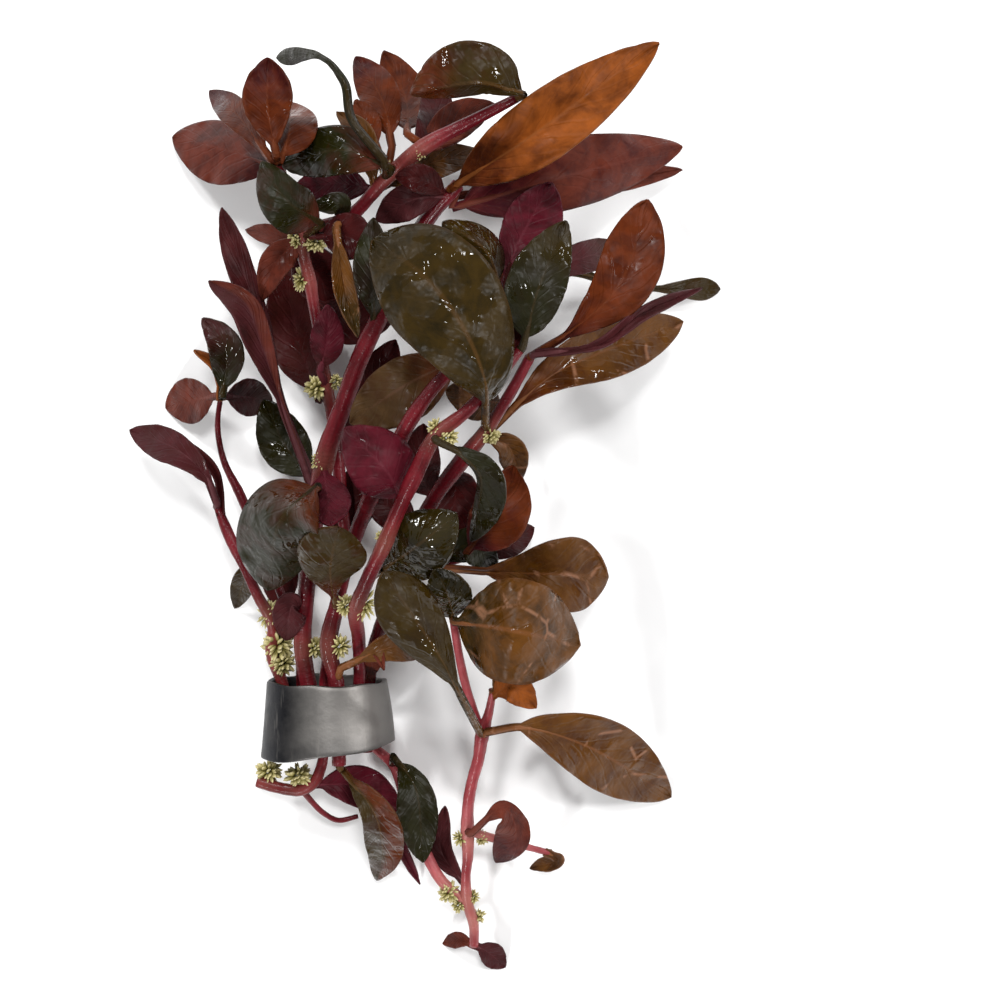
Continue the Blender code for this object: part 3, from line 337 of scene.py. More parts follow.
# the smallest leaves, grown from their stems: midrib, width, colour
youngLeaves = {
    "stem_left_shoot": [
        ([(254, 528, 0), (276, 556, 5), (282, 612, 3)], 40, "dark"),
        ([(222, 392, 0), (218, 368, 21), (194, 350, 22)], 12, "orange"),
        ([(270, 562, 0), (250, 572, 12), (235, 608, 1)], 24, "olive"),
    ],
    "stem_left": [
        ([(218, 512, 0), (214, 470, 18), (168, 430, 12)], 9, "dark"),
    ],
    "stem_back": [
        ([(300, 240, 0), (275, 236, 24), (246, 230, 16)], 20, "red"),
        ([(358, 208, 0), (340, 204, 36), (312, 206, 36)], 22, "green"),
        ([(372, 192, 0), (342, 184, 28), (296, 186, 20)], 40, "crimson"),
        ([(304, 252, 0), (318, 276, 20), (344, 306, 16)], 50, "dark"),
        ([(312, 298, 0), (346, 320, 18), (396, 316, 14)], 48, "dark"),
        ([(300, 256, 0), (276, 262, 18), (262, 300, 14)], 32, "red"),
        ([(336, 440, 0), (366, 400, 10), (396, 340, 8)], 50, "dark"),
        ([(345, 548, 0), (352, 510, 12), (378, 452, 14)], 46, "dark"),
        ([(388, 166, 0), (362, 136, 38), (337, 112, 34)], 26, "gold"),
        ([(434, 144, 0), (458, 120, 30), (494, 104, 24)], 38, "red"),
        ([(442, 139, 0), (436, 112, 27), (430, 70, 20)], 34, "dark"),
        ([(402, 166, 0), (432, 163, 28), (480, 152, 20)], 34, "gold"),
    ],
    "stem_thick": [
        ([(452, 190, 0), (412, 200, 31), (376, 220, 27)], 36, "mauve"),
        ([(444, 200, 0), (424, 180, 24), (396, 176, 20)], 30, "dark"),
        ([(388, 292, 0), (372, 262, 26), (374, 218, 26)], 38, "green"),
        ([(324, 474, 0), (328, 500, 36), (331, 526, 46)], 46, "crimson"),
        ([(306, 590, 0), (292, 606, 14), (286, 640, 6)], 34, "mauve"),
    ],
    "stem_right": [
        ([(487, 430, 0), (508, 446, 32), (520, 480, 24)], 30, "gold"),
        ([(440, 567, 0), (468, 545, 24), (497, 566, 18)], 36, "green"),
        ([(462, 558, 0), (498, 545, 16), (534, 528, 6)], 34, "dark"),
        ([(470, 452, 0), (456, 484, 22), (452, 548, 12)], 50, "dark"),
        ([(418, 530, 0), (398, 516, 20), (368, 486, 14)], 40, "dark"),
        ([(440, 490, 0), (420, 470, 20), (424, 424, 14)], 42, "dark"),
        ([(364, 668, 0), (377, 652, 28), (384, 670, 31)], 18, "red"),
        ([(500, 408, 0), (474, 398, 24), (446, 390, 18)], 44, "gold"),
    ],
    "stem_front": [
        ([(518, 354, 0), (512, 316, 30), (510, 262, 26)], 26, "dark"),
    ],
    "stem_middle": [
        ([(502, 290, 0), (486, 258, 28), (462, 226, 28)], 44, "red"),
    ],
    "stem_stub": [
        ([(314, 781, 0), (358, 786, 7), (402, 810, 3)], 42, "crimson"),
    ],
    "stem_loose": [
        ([(404, 792, 0), (402, 845, 8), (420, 884, 1)], 10, "crimson"),
        ([(474, 941, 0), (460, 940, 5), (443, 943, 1)], 16, "red"),
        ([(474, 941, 0), (488, 952, 5), (505, 967, 0.5)], 25, "mauve"),
        ([(466, 882, 0), (441, 850, 10), (445, 806, 10)], 22, "mauve"),
        ([(546, 852, 0), (558, 860, 8), (530, 868, 3)], 16, "gold"),
        ([(492, 693, 0), (512, 686, 34), (536, 708, 32)], 32, "orange"),
        ([(493, 691, 0), (508, 674, 32), (540, 674, 26)], 26, "gold"),
    ],
}


# the plan and the pile, as the solids have them
# mm for one plan unit at a height: what is nearer the camera looks larger
def unitAt(z):
    return plan["unit"] * (plan["eye"] - z) / (plan["eye"] - plan["middle"])


def spot(x, y, z):
    size = unitAt(z)
    return Vector(((x - 500) * size, (500 - y) * size, z))


def unspot(x, y, z):
    size = unitAt(z)
    return (x / size + 500, 500 - y / size, z)


# a smooth line through the points, at count places equally far apart
def smoothPath(points, count):
    p = np.array(points, float)
    p = np.vstack([2 * p[0] - p[1], p, 2 * p[-1] - p[-2]])
    line = []
    for i in range(1, len(p) - 2):
        for t in np.linspace(0, 1, 12, endpoint=False):
            line.append(
                0.5 * (2 * p[i] + (p[i + 1] - p[i - 1]) * t
                       + (2 * p[i - 1] - 5 * p[i] + 4 * p[i + 1] - p[i + 2]) * t ** 2
                       + (3 * p[i] - p[i - 1] - 3 * p[i + 1] + p[i + 2]) * t ** 3)
            )
    line.append(p[-2])
    line = np.array(line)
    steps = np.diff(line, axis=0) * (plan["unit"], plan["unit"], 1)
    along = np.concatenate([[0], np.cumsum(np.linalg.norm(steps, axis=1))])
    at = np.linspace(0, along[-1], count)
    return np.stack([np.interp(at, along, line[:, k]) for k in range(3)], axis=1)


# the direction across a path on the plan, at each of its points
def sideways(path, passes=3):
    ahead = np.gradient(path[:, :2], axis=0)
    for _ in range(passes):
        ahead[1:-1] = (ahead[:-2] + 2 * ahead[1:-1] + ahead[2:]) / 4
    ahead /= np.maximum(np.linalg.norm(ahead, axis=1), 1e-6)[:, None]
    return np.stack([-ahead[:, 1], ahead[:, 0]], axis=1)


# the outline that solid and fine leaves share
outline = {
    "power": 0.7,  # the lower, the fuller the ends
    "stalk": 3.6,  # half width of the stalk at its root, in plan units
    "least": (1.2, 0.3),  # added to it, and the half width at the tip: solid and fine
    "smooth": (3, 30),  # rounds that even out the midrib's direction: solid and fine
    "ripples": 15,
}


def leafGrid(midrib, width, widest, stalk, left, right, lift, wave, rows, columns, fine=False):
    path = smoothPath(midrib, rows)
    across = sideways(path, outline["smooth"][fine])
    u = np.linspace(0, 1, rows)
    s = np.clip((u - stalk) / (1 - stalk), 0, 1)
    power = math.log(0.5) / math.log(widest)
    blade = np.sin(math.pi * s ** power) ** outline["power"]
    half = np.maximum(width / 2 * blade, outline["stalk"] * (1 - s) + outline["least"][fine])
    v = np.linspace(-1, 1, columns)
    share = np.where(v < 0, left, right)
    steep = np.sqrt(1 - share ** 2)
    grid = np.zeros((rows, columns, 3))
    grid[:, :, :2] = path[:, None, :2] + across[:, None, :] * (half[:, None] * (v * share))[:, :, None]
    full = half[:, None] * plan["unit"]
    ripple = np.sin(u * outline["ripples"] + width)[:, None] * np.where(v < 0, 1, -0.7)
    grid[:, :, 2] = (
        path[:, None, 2]
        - full * np.abs(v) * steep
        + (half / (width / 2))[:, None] * (lift * np.abs(v) ** 1.5 + wave * ripple * v ** 2)
    )
    return grid


# how much thicker a sheet is straight upwards, where it slopes
def slant(normal):
    slope = math.hypot(normal.x, normal.y) / max(abs(normal.z), 1e-3) / plan["unit"]
    return min(math.sqrt(1 + slope ** 2), pile["steepest"][0])


# the path's point that is nearest to a place on the plan
def nearest(path, x, y):
    return int(np.argmin(np.hypot(path[:, 0] - x, path[:, 1] - y)))


layers = []  # what lies on the surface so far: owner, search tree, box on the plan, sheet or not


def addLayer(owner, points, faces, sheet=True):
    points = np.asarray(points, float)
    tree = BVHTree.FromPolygons([tuple(p) for p in points], faces)
    layers.append((owner, tree, (*points[:, :2].min(axis=0), *points[:, :2].max(axis=0)), sheet))


# the height of the pile at a place, without the owners' own layers
def topOf(x, y, owners=()):
    best = 0.0
    for owner, tree, box, sheet in layers:
        if owner in owners or not (box[0] <= x <= box[2] and box[1] <= y <= box[3]):
            continue
        place, normal, _, _ = tree.ray_cast(Vector((x, y, pile["above"])), Vector((0, 0, -1)))
        if place is None:
            continue
        height = place.z
        if sheet:
            height += pile["leaf"] / 2 * slant(normal)
        best = max(best, height)
    return best


# how far each point of a leaf rises to clear the pile; a fused one stays down where it grows
def layLeaf(grid, owners=(), fused=False):
    rows, columns, _ = grid.shape
    unit = (plan["unit"], plan["unit"], 1)
    samples, places = pile["leafFeel"]
    rounds, keep = pile["leafSmooth"]
    need = np.zeros((rows, columns))
    for i in range(rows - 1):
        for j in range(columns - 1):
            corner = grid[i:i + 2, j:j + 2].reshape(4, 3)
            normal = np.cross((corner[2] - corner[0]) * unit, (corner[1] - corner[0]) * unit)
            slope = np.linalg.norm(normal) / max(abs(normal[2]), 1e-6)
            own = pile["leaf"] / 2 * min(slope, pile["steepest"][1])
            worst = 0.0
            for a in np.linspace(0, 1, samples):
                for b in places:
                    p = ((1 - a) * (1 - b) * corner[0] + (1 - a) * b * corner[1]
                         + a * (1 - b) * corner[2] + a * b * corner[3])
                    under = topOf(p[0], p[1], owners)
                    worst = max(worst, under + (pile["gap"] if under > 0 else 0.0) + own - p[2])
            need[i:i + 2, j:j + 2] = np.maximum(need[i:i + 2, j:j + 2], worst)
    rise = need.copy()
    for _ in range(rounds):
        padded = np.pad(rise, 1, mode="edge")
        mean = (padded[:-2, 1:-1] + padded[2:, 1:-1] + padded[1:-1, :-2] + padded[1:-1, 2:]) / 4
        rise = np.maximum(need, mean * keep)
        if fused:
            rise[0] = 0
    return rise


# where a flower cluster sits on its stem: no further out than it can hold on
def flowerPlace(path, radius, x, y, width):
    k = nearest(path, x, y)
    far = np.array([x, y]) - path[k, :2]
    ofWidth, ofRadius = pile["flowerOut"]
    limit = ofWidth * width + ofRadius * radius[k] / plan["unit"]
    x, y = path[k, :2] + far * min(1.0, limit / max(np.linalg.norm(far), 1e-6))
    return k, x, y


# raises a stem, with its clusters as lumps, until it clears the pile
def layStem(path, radius, lumps, owners):
    need = np.zeros(len(path))
    across = sideways(path)
    samples, places = pile["stemFeel"]
    rings, around = pile["flowerFeel"]
    rounds, keep = pile["stemSmooth"]
    for i in range(len(path) - 1):
        worst = 0.0
        for a in np.linspace(0, 1, samples):
            p = (1 - a) * path[i] + a * path[i + 1]
            r = (1 - a) * radius[i] + a * radius[i + 1]
            for d in places:
                q = p[:2] + across[i] * d * r / plan["unit"]
                under = topOf(q[0], q[1], owners)
                reach = r * math.sqrt(max(1 - d * d, 0))
                worst = max(worst, under + (pile["gap"] if under > 0 else 0.0) + reach - p[2])
        need[i:i + 2] = np.maximum(need[i:i + 2], worst)
    for x, y, width, stretch in lumps:
        i, x, y = flowerPlace(path, radius, x, y, width)
        for ring in rings:
            for k in range(around):
                turn = k * math.pi / (around / 2)
                px = x + ring * width / 2 * math.cos(turn)
                py = y + ring * width / 2 * stretch * math.sin(turn)
                under = topOf(px, py, owners)
                reach = width * plan["unit"] / 2 * math.sqrt(max(1 - ring * ring, 0.05))
                need[i] = max(need[i], under + (pile["gap"] if under > 0 else 0.0) + reach - path[i, 2])
    rise = need.copy()
    for _ in range(rounds):
        padded = np.pad(rise, 1, mode="edge")
        rise = np.maximum(need, (padded[:-2] + padded[2:]) / 2 * keep)
    path[:, 2] += rise
    return path


# the faces of a closed tube of rings, with its two flat ends
def tubeFaces(rings, around):
    faces = []
    for i in range(rings - 1):
        for k in range(around):
            a, b = i * around + k, i * around + (k + 1) % around
            faces.append((a, b, b + around, a + around))
    faces.append(tuple(range(around - 1, -1, -1)))
    faces.append(tuple(range((rings - 1) * around, rings * around)))
    return faces


def tubeCover(path, radius):
    points = []
    sides = pile["sides"]
    wide, high = pile["cover"]
    for p, side, r in zip(path, sideways(path), radius):
        for k in range(sides):
            turn = k * math.pi / (sides / 2) + math.pi / sides
            out = wide * r * math.cos(turn) / plan["unit"]
            points.append((p[0] + side[0] * out, p[1] + side[1] * out, p[2] + high * r * math.sin(turn)))
    return points, tubeFaces(len(path), sides)


def gridFaces(rows, columns):
    return [(i * columns + j, i * columns + j + 1, (i + 1) * columns + j + 1, (i + 1) * columns + j)
            for i in range(rows - 1) for j in range(columns - 1)]


# a cluster's solid: a ball whose corners stand out between dimples
def ballCover(x, y, z, width, stretch, many):
    bm = bmesh.new()
    bmesh.ops.create_icosphere(bm, subdivisions=2 if many else 1, radius=1)
    r = width * plan["unit"] / 2
    middle = spot(x, y, z)
    points = []
    for k, vertex in enumerate(bm.verts):
        out = 1.0 if k < 12 else pile["dimple"]
        co = Vector((vertex.co.x * r, vertex.co.y * r * stretch, vertex.co.z * r)) * out + middle
        points.append(unspot(*co))
    faces = [tuple(v.index for v in face.verts) for face in bm.faces]
    bm.free()
    return points, faces


# a place within the stem for a young leaf's root: a little before a ring, not on it
def inside(path, x, y):
    k = nearest(path, x, y)
    longest, share = pile["before"]
    if k and np.hypot(*(path[k, :2] - path[k - 1, :2])) < longest:
        return (1 - share) * path[k] + share * path[k - 1]
    return path[k]


# a stem's radii in mm at count places, from its widths on the plan
def radii(widths, count):
    at = np.linspace(0, 1, len(widths))
    return np.interp(np.linspace(0, 1, count), at, widths) * plan["unit"] / 2


bandPoints = []
sides = band["sides"]
for x, y, wide, high in (band["top"], band["low"]):
    for k in range(sides):
        turn = k * math.pi / (sides / 2)
        z = band["height"] + (high + band["room"]) * math.sin(turn)
        bandPoints.append(unspot(x + wide * math.cos(turn), y, z))
bandFaces = [(k, (k + 1) % sides, sides + (k + 1) % sides, sides + k) for k in range(sides)]
addLayer("band", bandPoints, bandFaces, False)

stemPaths = {}
for name, (points, widths) in stemLines.items():
    count = max(8, len(points))
    stemPaths[name] = (smoothPath(points, count), radii(widths, count))

laidStems = {}  # stem: its main line and side lines, each a path and its radii
laidFlowers = {}  # stem: places of its flower clusters
laidLeaves = []  # name, stem, midrib, shape, the coarse rise, looks


def addLeaf(name, stem, midrib, shape, size, looks, owners=(), fused=False):
    grid = leafGrid(midrib, *shape, *size)
    rise = layLeaf(grid, owners, fused)
    grid[:, :, 2] += rise
    laidLeaves.append((name, stem, midrib, shape, rise, looks))
    return grid.reshape(-1, 3), gridFaces(*size)


# the young leaves are numbered through the whole table
def youngNamesOf(name):
    stems = [stem for stem, leaves in youngLeaves.items() for _ in leaves]
    return [f"young_leaf_{n + 1}" for n, stem in enumerate(stems) if stem == name]


# a stem with its side branches, flower clusters and young leaves, all one solid
def addStem(name):
    path, radius = stemPaths[name]
    flowers = flowerSpots.get(name, [])
    path = layStem(path, radius, [flower[:4] for flower in flowers], ("band",))
    lines = [(path, radius)]
    for points, widths in branchLines.get(name, []):
        start = path[nearest(path, *points[0][:2])]
        line = smoothPath([tuple(start)] + points[1:], len(points) + 1)
        thick = radii(widths, len(line))
        line = layStem(line, thick, [], (name, "band"))
        line[0] = start + pile["branchRoot"]
        lines.append((line, thick))
    every = np.vstack([line for line, _ in lines])
    reach = np.concatenate([thick for _, thick in lines])
    covers = [tubeCover(line, thick) for line, thick in lines]
    laidStems[name] = lines
    laidFlowers[name] = []
    for x, y, width, stretch, many in flowers:
        k, x, y = flowerPlace(every, reach, x, y, width)
        z = max(every[k, 2], width * plan["unit"] / 2)
        laidFlowers[name].append((x, y, z, width, stretch, many))
        covers.append(ballCover(x, y, z, width, stretch, many))
    for label, (midrib, width, colour) in zip(youngNamesOf(name), youngLeaves.get(name, [])):
        root = inside(every, *midrib[0][:2]) + pile["youngRoot"]
        covers.append(addLeaf(
            label, name, [tuple(root)] + midrib[1:], (width, *pile["youngShape"]),
            pile["grids"][2], (colour, "mauve", "dark", ""), (name,), True,
        ))
    for cover in covers:
        addLayer(name, *cover)
    stemPaths[name] = (every, reach)


for entry in layOrder:
    if len(entry) == 1:
        addStem(entry[0])
        continue
    name, stem, midrib, *shape, looks = entry
    path = stemPaths[stem][0]
    start = path[nearest(path, *midrib[0][:2])]
    height = start[2] if stem in laidStems else start[2] - pile["sunk"]
    midrib = [(*midrib[0][:2], height)] + midrib[1:]
    size = pile["grids"][0 if shape[0] >= pile["large"] else 1]
    addLayer(name, *addLeaf(name, stem, midrib, tuple(shape), size, looks))
print("laid", len(laidLeaves), "leaves and", len(laidStems), "stems")

# where the plan's middle went when the solids were centred: from the leaves' boxes
moves = []
for name, stem, midrib, shape, rise, looks in laidLeaves:
    if name.startswith("leaf"):
        grid = leafGrid(midrib, *shape, *rise.shape)
        grid[:, :, 2] += rise
        places = np.array([spot(*p) for p in grid.reshape(-1, 3)])
        low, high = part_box(name)
        middle = (np.array(low) + np.array(high)) * 500  # in mm
        moves.append(middle - (places.min(axis=0) + places.max(axis=0)) / 2)
shift = Vector(np.median(np.array(moves), axis=0))
print("shift", [round(v, 3) for v in shift], "spread", np.ptp(np.array(moves), axis=0).round(3))


def world(p):
    return (spot(*p) + shift) * mm


# materials
# an sRGB hex colour as linear light
def linear(code, strength=1.0):
    channels = [int(code[i:i + 2], 16) / 255 for i in (1, 3, 5)]
    linears = [c / 12.92 if c <= 0.04045 else ((c + 0.055) / 1.055) ** 2.4 for c in channels]
    return (*(c * strength for c in linears), 1.0)


# a node with its settings and links: a node given as a value stands for its first output, and text
# for an sRGB hex colour
def addNode(tree, kind, inputs=None, **settings):
    node = tree.nodes.new("ShaderNode" + kind)
    for key, value in settings.items():
        setattr(node, key, value)
    for key, value in (inputs or {}).items():
        if isinstance(value, bpy.types.Node):
            value = value.outputs[0]
        if isinstance(value, str):
            value = linear(value)
        if isinstance(value, bpy.types.NodeSocket):
            tree.links.new(value, node.inputs[key])
        else:
            node.inputs[key].default_value = value
    return node


def newMaterial(name):
    made = bpy.data.materials.new(name)
    made.use_nodes = True
    return made, made.node_tree, made.node_tree.nodes["Principled BSDF"]


# the fine blades; heights, depths and radii in mm
bladeForm = {
    "grid": (61, 21),  # rows along and columns across a grown leaf
    "youngGrid": (31, 13),
    "thickness": 0.42,
    "veins": 9,  # side veins to a side
    "lean": (2.4, 0.8),  # how far they bend towards the tip, and the power that shapes the bend
    "stagger": 0.4,  # how far the two sides are out of step
    "swell": 0.07,  # bulge between two veins
    "groove": (0.2, 0.1),  # depth over the midrib, and its width for the half blade
    "ripple": (0.42, 31, 53),  # of the margin: height on a leaf 14 mm wide, and two frequencies
    "rippleWidth": 14,
    "sway": (0.3, 11, 4),  # slow waves: height, and frequencies along and across the blade
    "lowest": 0.25,  # least height over the surface
    "stalk": (0.75, 0.5, 0.1),  # radius at the stem, at a quarter of the length and at the tip
    "youngStalk": 0.6,  # a young leaf's stalk for a grown one's
    "root": 0.9,  # radius inside the stem
    "around": 8,  # sides of a stalk
}


# leaf skins: colours of the face, the midrib and the side veins, how far the veins show, how deep
# the wrinkles are, how much of the face is wet, roughness where dry and where wet, gloss, and how
# far healed scratches show
skinColumns = ("face", "rib", "vein", "show", "wrinkle", "film", "dry", "wet", "shine", "scars")
leafSkins = {
    "orange": ("#6c3711", "#7e4822", "#743f1a", 0.14, 0.22, 0.2, 0.46, 0.2, 0.12, 0),
    "rust": ("#481d0a", "#5e2e18", "#532812", 0.14, 0.3, 0.3, 0.45, 0.16, 0.12, 0),
    "gold": ("#482a0a", "#74482a", "#593916", 0.18, 0.5, 0.42, 0.44, 0.1, 0.26, 0.4),
    "tan": ("#362513", "#54392a", "#42301d", 0.18, 0.45, 0.35, 0.45, 0.14, 0.12, 0),
    "red": ("#4c2016", "#623026", "#562a20", 0.14, 0.28, 0.22, 0.46, 0.2, 0.12, 0),
    "crimson": ("#3f0e17", "#58222b", "#4c1822", 0.22, 0.5, 0.35, 0.44, 0.14, 0.12, 0),
    "mauve": ("#361517", "#553033", "#421e21", 0.18, 0.3, 0.25, 0.46, 0.2, 0.12, 0),
    "olive": ("#261b04", "#4e3518", "#32240a", 0.22, 0.85, 0.55, 0.42, 0.08, 0.26, 0),
    "green": ("#151404", "#2e230e", "#221e0a", 0.22, 0.7, 0.5, 0.42, 0.08, 0.26, 0),
    "glossy": ("#1e1804", "#46321a", "#2e240c", 0.22, 1.1, 0.95, 0.2, 0.1, 0.55, 0),
    "dark": ("#2f0c0c", "#421818", "#3a1212", 0.3, 0.5, 0.35, 0.44, 0.16, 0.12, 0),
    "underside": ("#38241f", "#583b35", "#46312c", 0.3, 0.3, 0.15, 0.5, 0.3, 0.12, 0),
}
leafSkins = {name: dict(zip(skinColumns, row)) for name, row in leafSkins.items()}


# a thin fleshy blade: pigment in blotches, raised bulges between sunken veins, a broken water film
def leafMaterial(face, second):
    skin = leafSkins[face]
    made, tree, shader = newMaterial("leaf blade " + face + " and " + second)
    coords = addNode(tree, "TexCoord")
    place = coords.outputs["Object"]
    unrolled = coords.outputs["UV"]
    split = addNode(tree, "SeparateXYZ", {0: unrolled})
    centred = addNode(tree, "Math", {0: split.outputs[1], 1: 2.0, 2: -1.0}, operation="MULTIPLY_ADD")
    across = addNode(tree, "Math", {0: centred}, operation="ABSOLUTE")
    # side veins where the mesh has them, a little unsteady
    reach, power = bladeForm["lean"]
    bend = addNode(tree, "Math", {0: across, 1: power}, operation="POWER")
    lean = addNode(tree, "Math", {0: bend, 1: -reach}, operation="MULTIPLY")
    side = addNode(tree, "Math", {0: centred, 1: 0.0}, operation="GREATER_THAN")
    out = bladeForm["stagger"]
    stagger = addNode(tree, "Math", {0: side, 1: out, 2: lean}, operation="MULTIPLY_ADD")
    waver = addNode(tree, "TexNoise", {"Vector": place, "Scale": 150.0, "Detail": 2.0})
    drift = addNode(tree, "Math", {0: waver, 1: 1.1, 2: stagger}, operation="MULTIPLY_ADD")
    count = bladeForm["veins"]
    phase = addNode(tree, "Math", {0: split, 1: count, 2: drift}, operation="MULTIPLY_ADD")
    saw = addNode(tree, "Math", {0: phase, 1: 0.5}, operation="PINGPONG")
    veins = addNode(
        tree, "MapRange", {0: saw, 1: 0.0, 2: 0.16, 3: 1.0, 4: 0.0},
        interpolation_type="SMOOTHSTEP",
    )
    rib = addNode(
        tree, "MapRange", {0: across, 1: 0.01, 2: 0.07, 3: 1.0, 4: 0.0},
        interpolation_type="SMOOTHSTEP",
    )
    # blotches of six millimetres and mottling of one
    blotch = addNode(tree, "TexNoise", {
        "Vector": place, "Scale": 170.0, "Detail": 4.0, "Roughness": 0.62, "Distortion": 0.4,
    })
    mottle = addNode(tree, "TexNoise", {"Vector": place, "Scale": 900.0, "Detail": 3.0, "Roughness": 0.6})
    tint = addNode(tree, "Attribute", attribute_name="tint")
    loose = addNode(tree, "Math", {0: blotch, 1: 1.6, 2: -0.8}, operation="MULTIPLY_ADD")
    blend = addNode(tree, "Math", {0: tint.outputs["Fac"], 1: loose}, operation="ADD", use_clamp=True)
    colour = addNode(
        tree, "Mix", {0: blend, 6: skin["face"], 7: leafSkins[second]["face"]},
        data_type="RGBA",
    )
    tone = addNode(tree, "MapRange", {0: blotch, 1: 0.34, 2: 0.68, 3: 1.65, 4: 0.75})
    mottled = addNode(tree, "VectorMath", {0: colour.outputs[2], "Scale": tone}, operation="SCALE")
    grain = addNode(tree, "MapRange", {0: mottle, 1: 0.5, 2: 0.75, 3: 0.0, 4: 0.3})
    grained = addNode(tree, "Mix", {0: grain, 6: mottled, 7: skin["vein"]}, data_type="RGBA")
    veinShare = addNode(tree, "Math", {0: veins, 1: skin["show"]}, operation="MULTIPLY")
    veined = addNode(tree, "Mix", {0: veinShare, 6: grained.outputs[2], 7: skin["vein"]}, data_type="RGBA")
    ribFade = addNode(tree, "MapRange", {0: split, 1: 0.1, 2: 0.9, 3: 0.9, 4: 0.1})
    ribShare = addNode(tree, "Math", {0: rib, 1: ribFade}, operation="MULTIPLY")
    ribbed = addNode(tree, "Mix", {0: ribShare, 6: veined.outputs[2], 7: skin["rib"]}, data_type="RGBA")
    edge = addNode(tree, "MapRange", {0: across, 1: 0.94, 2: 1.0, 3: 0.0, 4: 0.45})
    rimmed = addNode(
        tree, "Mix", {0: edge, 6: ribbed.outputs[2], 7: linear(skin["rib"], 0.7)},
        data_type="RGBA",
    )
    surface = rimmed.outputs[2]
    if skin["scars"]:
        # healed scratches, about thirteen millimetres apart and paler than the skin
        cuts = addNode(tree, "TexVoronoi", {"Vector": place, "Scale": 75.0}, feature="DISTANCE_TO_EDGE")
        cutLines = addNode(tree, "MapRange", {0: cuts, 1: 0.008, 2: 0.04, 3: 1.0, 4: 0.0})
        patchy = addNode(tree, "MapRange", {0: blotch, 1: 0.5, 2: 0.58, 3: 0.0, 4: skin["scars"]})
        cutShare = addNode(tree, "Math", {0: cutLines, 1: patchy}, operation="MULTIPLY")
        scarred = addNode(tree, "Mix", {0: cutShare, 6: surface, 7: "#a8785c"}, data_type="RGBA")
        surface = scarred.outputs[2]
    # the water film lies in pools of six millimetres, and the skin is duller where it has run off
    pools = addNode(tree, "TexNoise", {"Vector": place, "Scale": 160.0, "Detail": 2.0, "Roughness": 0.5})
    wetter = 0.3 * skin["film"]
    film = addNode(tree, "MapRange", {
        0: pools, 1: 0.66 - wetter, 2: 0.72 - wetter, 3: skin["dry"], 4: skin["wet"],
    })
    # bulges of three millimetres, wrinkles of one and a half and sunken veins
    bulges = addNode(tree, "TexNoise", {"Vector": place, "Scale": 330.0, "Detail": 0.0})
    creases = addNode(tree, "TexNoise", {"Vector": place, "Scale": 620.0, "Detail": 1.0, "Roughness": 0.5})
    heightA = addNode(tree, "Math", {0: creases, 1: 1.1 * skin["wrinkle"], 2: 0.0}, operation="MULTIPLY_ADD")
    heightB = addNode(
        tree, "Math", {0: bulges, 1: 1.7 * skin["wrinkle"], 2: heightA},
        operation="MULTIPLY_ADD",
    )
    heightC = addNode(tree, "Math", {0: veins, 1: -0.2, 2: heightB}, operation="MULTIPLY_ADD")
    bump = addNode(tree, "Bump", {"Height": heightC, "Distance": 0.0004, "Strength": 0.8})
    tree.links.new(surface, shader.inputs["Base Color"])
    tree.links.new(film.outputs[0], shader.inputs["Roughness"])
    tree.links.new(bump.outputs[0], shader.inputs["Normal"])
    shader.inputs["IOR"].default_value = 1.38
    shader.inputs["Specular IOR Level"].default_value = skin["shine"]
    return made


leafMaterials = {}


def leafSkin(face, second):
    if (face, second) not in leafMaterials:
        leafMaterials[face, second] = leafMaterial(face, second)
    return leafMaterials[face, second]


# stem colours: a painted shaded red, a painted lit red, and the paler colour at the joints
stemColours = {
    "red": ("#40070d", "#6c151f", "#a86e5c"),
    "pink": ("#7a282d", "#a65256", "#c09a84"),
}


# a wet fleshy stem: patches of painted shade and light, long pigment streaks, fine cross wrinkles, paler
# swollen joints
def stemMaterial(name, shaded, lit, swollen):
    made, tree, shader = newMaterial(name + " stem skin")
    coords = addNode(tree, "TexCoord")
    place = coords.outputs["Object"]
    unrolled = coords.outputs["UV"]
    joint = addNode(tree, "Attribute", attribute_name="joint")
    stretch = addNode(tree, "Mapping", {0: unrolled, "Scale": (16.0, 2.5, 1.0)})
    fibres = addNode(tree, "TexNoise", {"Vector": stretch, "Scale": 1.0, "Detail": 4.0})
    patches = addNode(tree, "TexNoise", {"Vector": place, "Scale": 90.0, "Detail": 4.0})
    spread = addNode(tree, "MapRange", {0: patches, 1: 0.35, 2: 0.65, 3: 0.0, 4: 1.0})
    # painted shade and light: random patches between the shaded and the lit copy of the red
    red = addNode(tree, "Mix", {0: spread, 6: shaded, 7: lit}, data_type="RGBA")
    streak = addNode(tree, "MapRange", {0: fibres, 1: 0.45, 2: 0.75, 3: 0.0, 4: 0.6})
    streaked = addNode(tree, "Mix", {0: streak, 6: red.outputs[2], 7: linear(shaded, 0.6)}, data_type="RGBA")
    pale = addNode(
        tree, "Mix", {0: joint.outputs["Fac"], 6: streaked.outputs[2], 7: swollen},
        data_type="RGBA",
    )
    across = addNode(tree, "Mapping", {0: unrolled, "Scale": (3.0, 30.0, 1.0)})
    wrinkles = addNode(tree, "TexNoise", {"Vector": across, "Scale": 1.0, "Detail": 3.0})
    grains = addNode(tree, "TexNoise", {"Vector": place, "Scale": 1300.0, "Detail": 2.0})
    height = addNode(tree, "Math", {0: wrinkles, 1: 1.0, 2: grains}, operation="MULTIPLY_ADD")
    rough = addNode(tree, "MapRange", {0: patches, 1: 0.35, 2: 0.7, 3: 0.16, 4: 0.4})
    bump = addNode(tree, "Bump", {"Height": height, "Distance": 0.00016, "Strength": 0.7})
    tree.links.new(pale.outputs[2], shader.inputs["Base Color"])
    tree.links.new(rough.outputs[0], shader.inputs["Roughness"])
    tree.links.new(bump.outputs[0], shader.inputs["Normal"])
    shader.inputs["IOR"].default_value = 1.38
    shader.inputs["Specular IOR Level"].default_value = 0.4
    return made


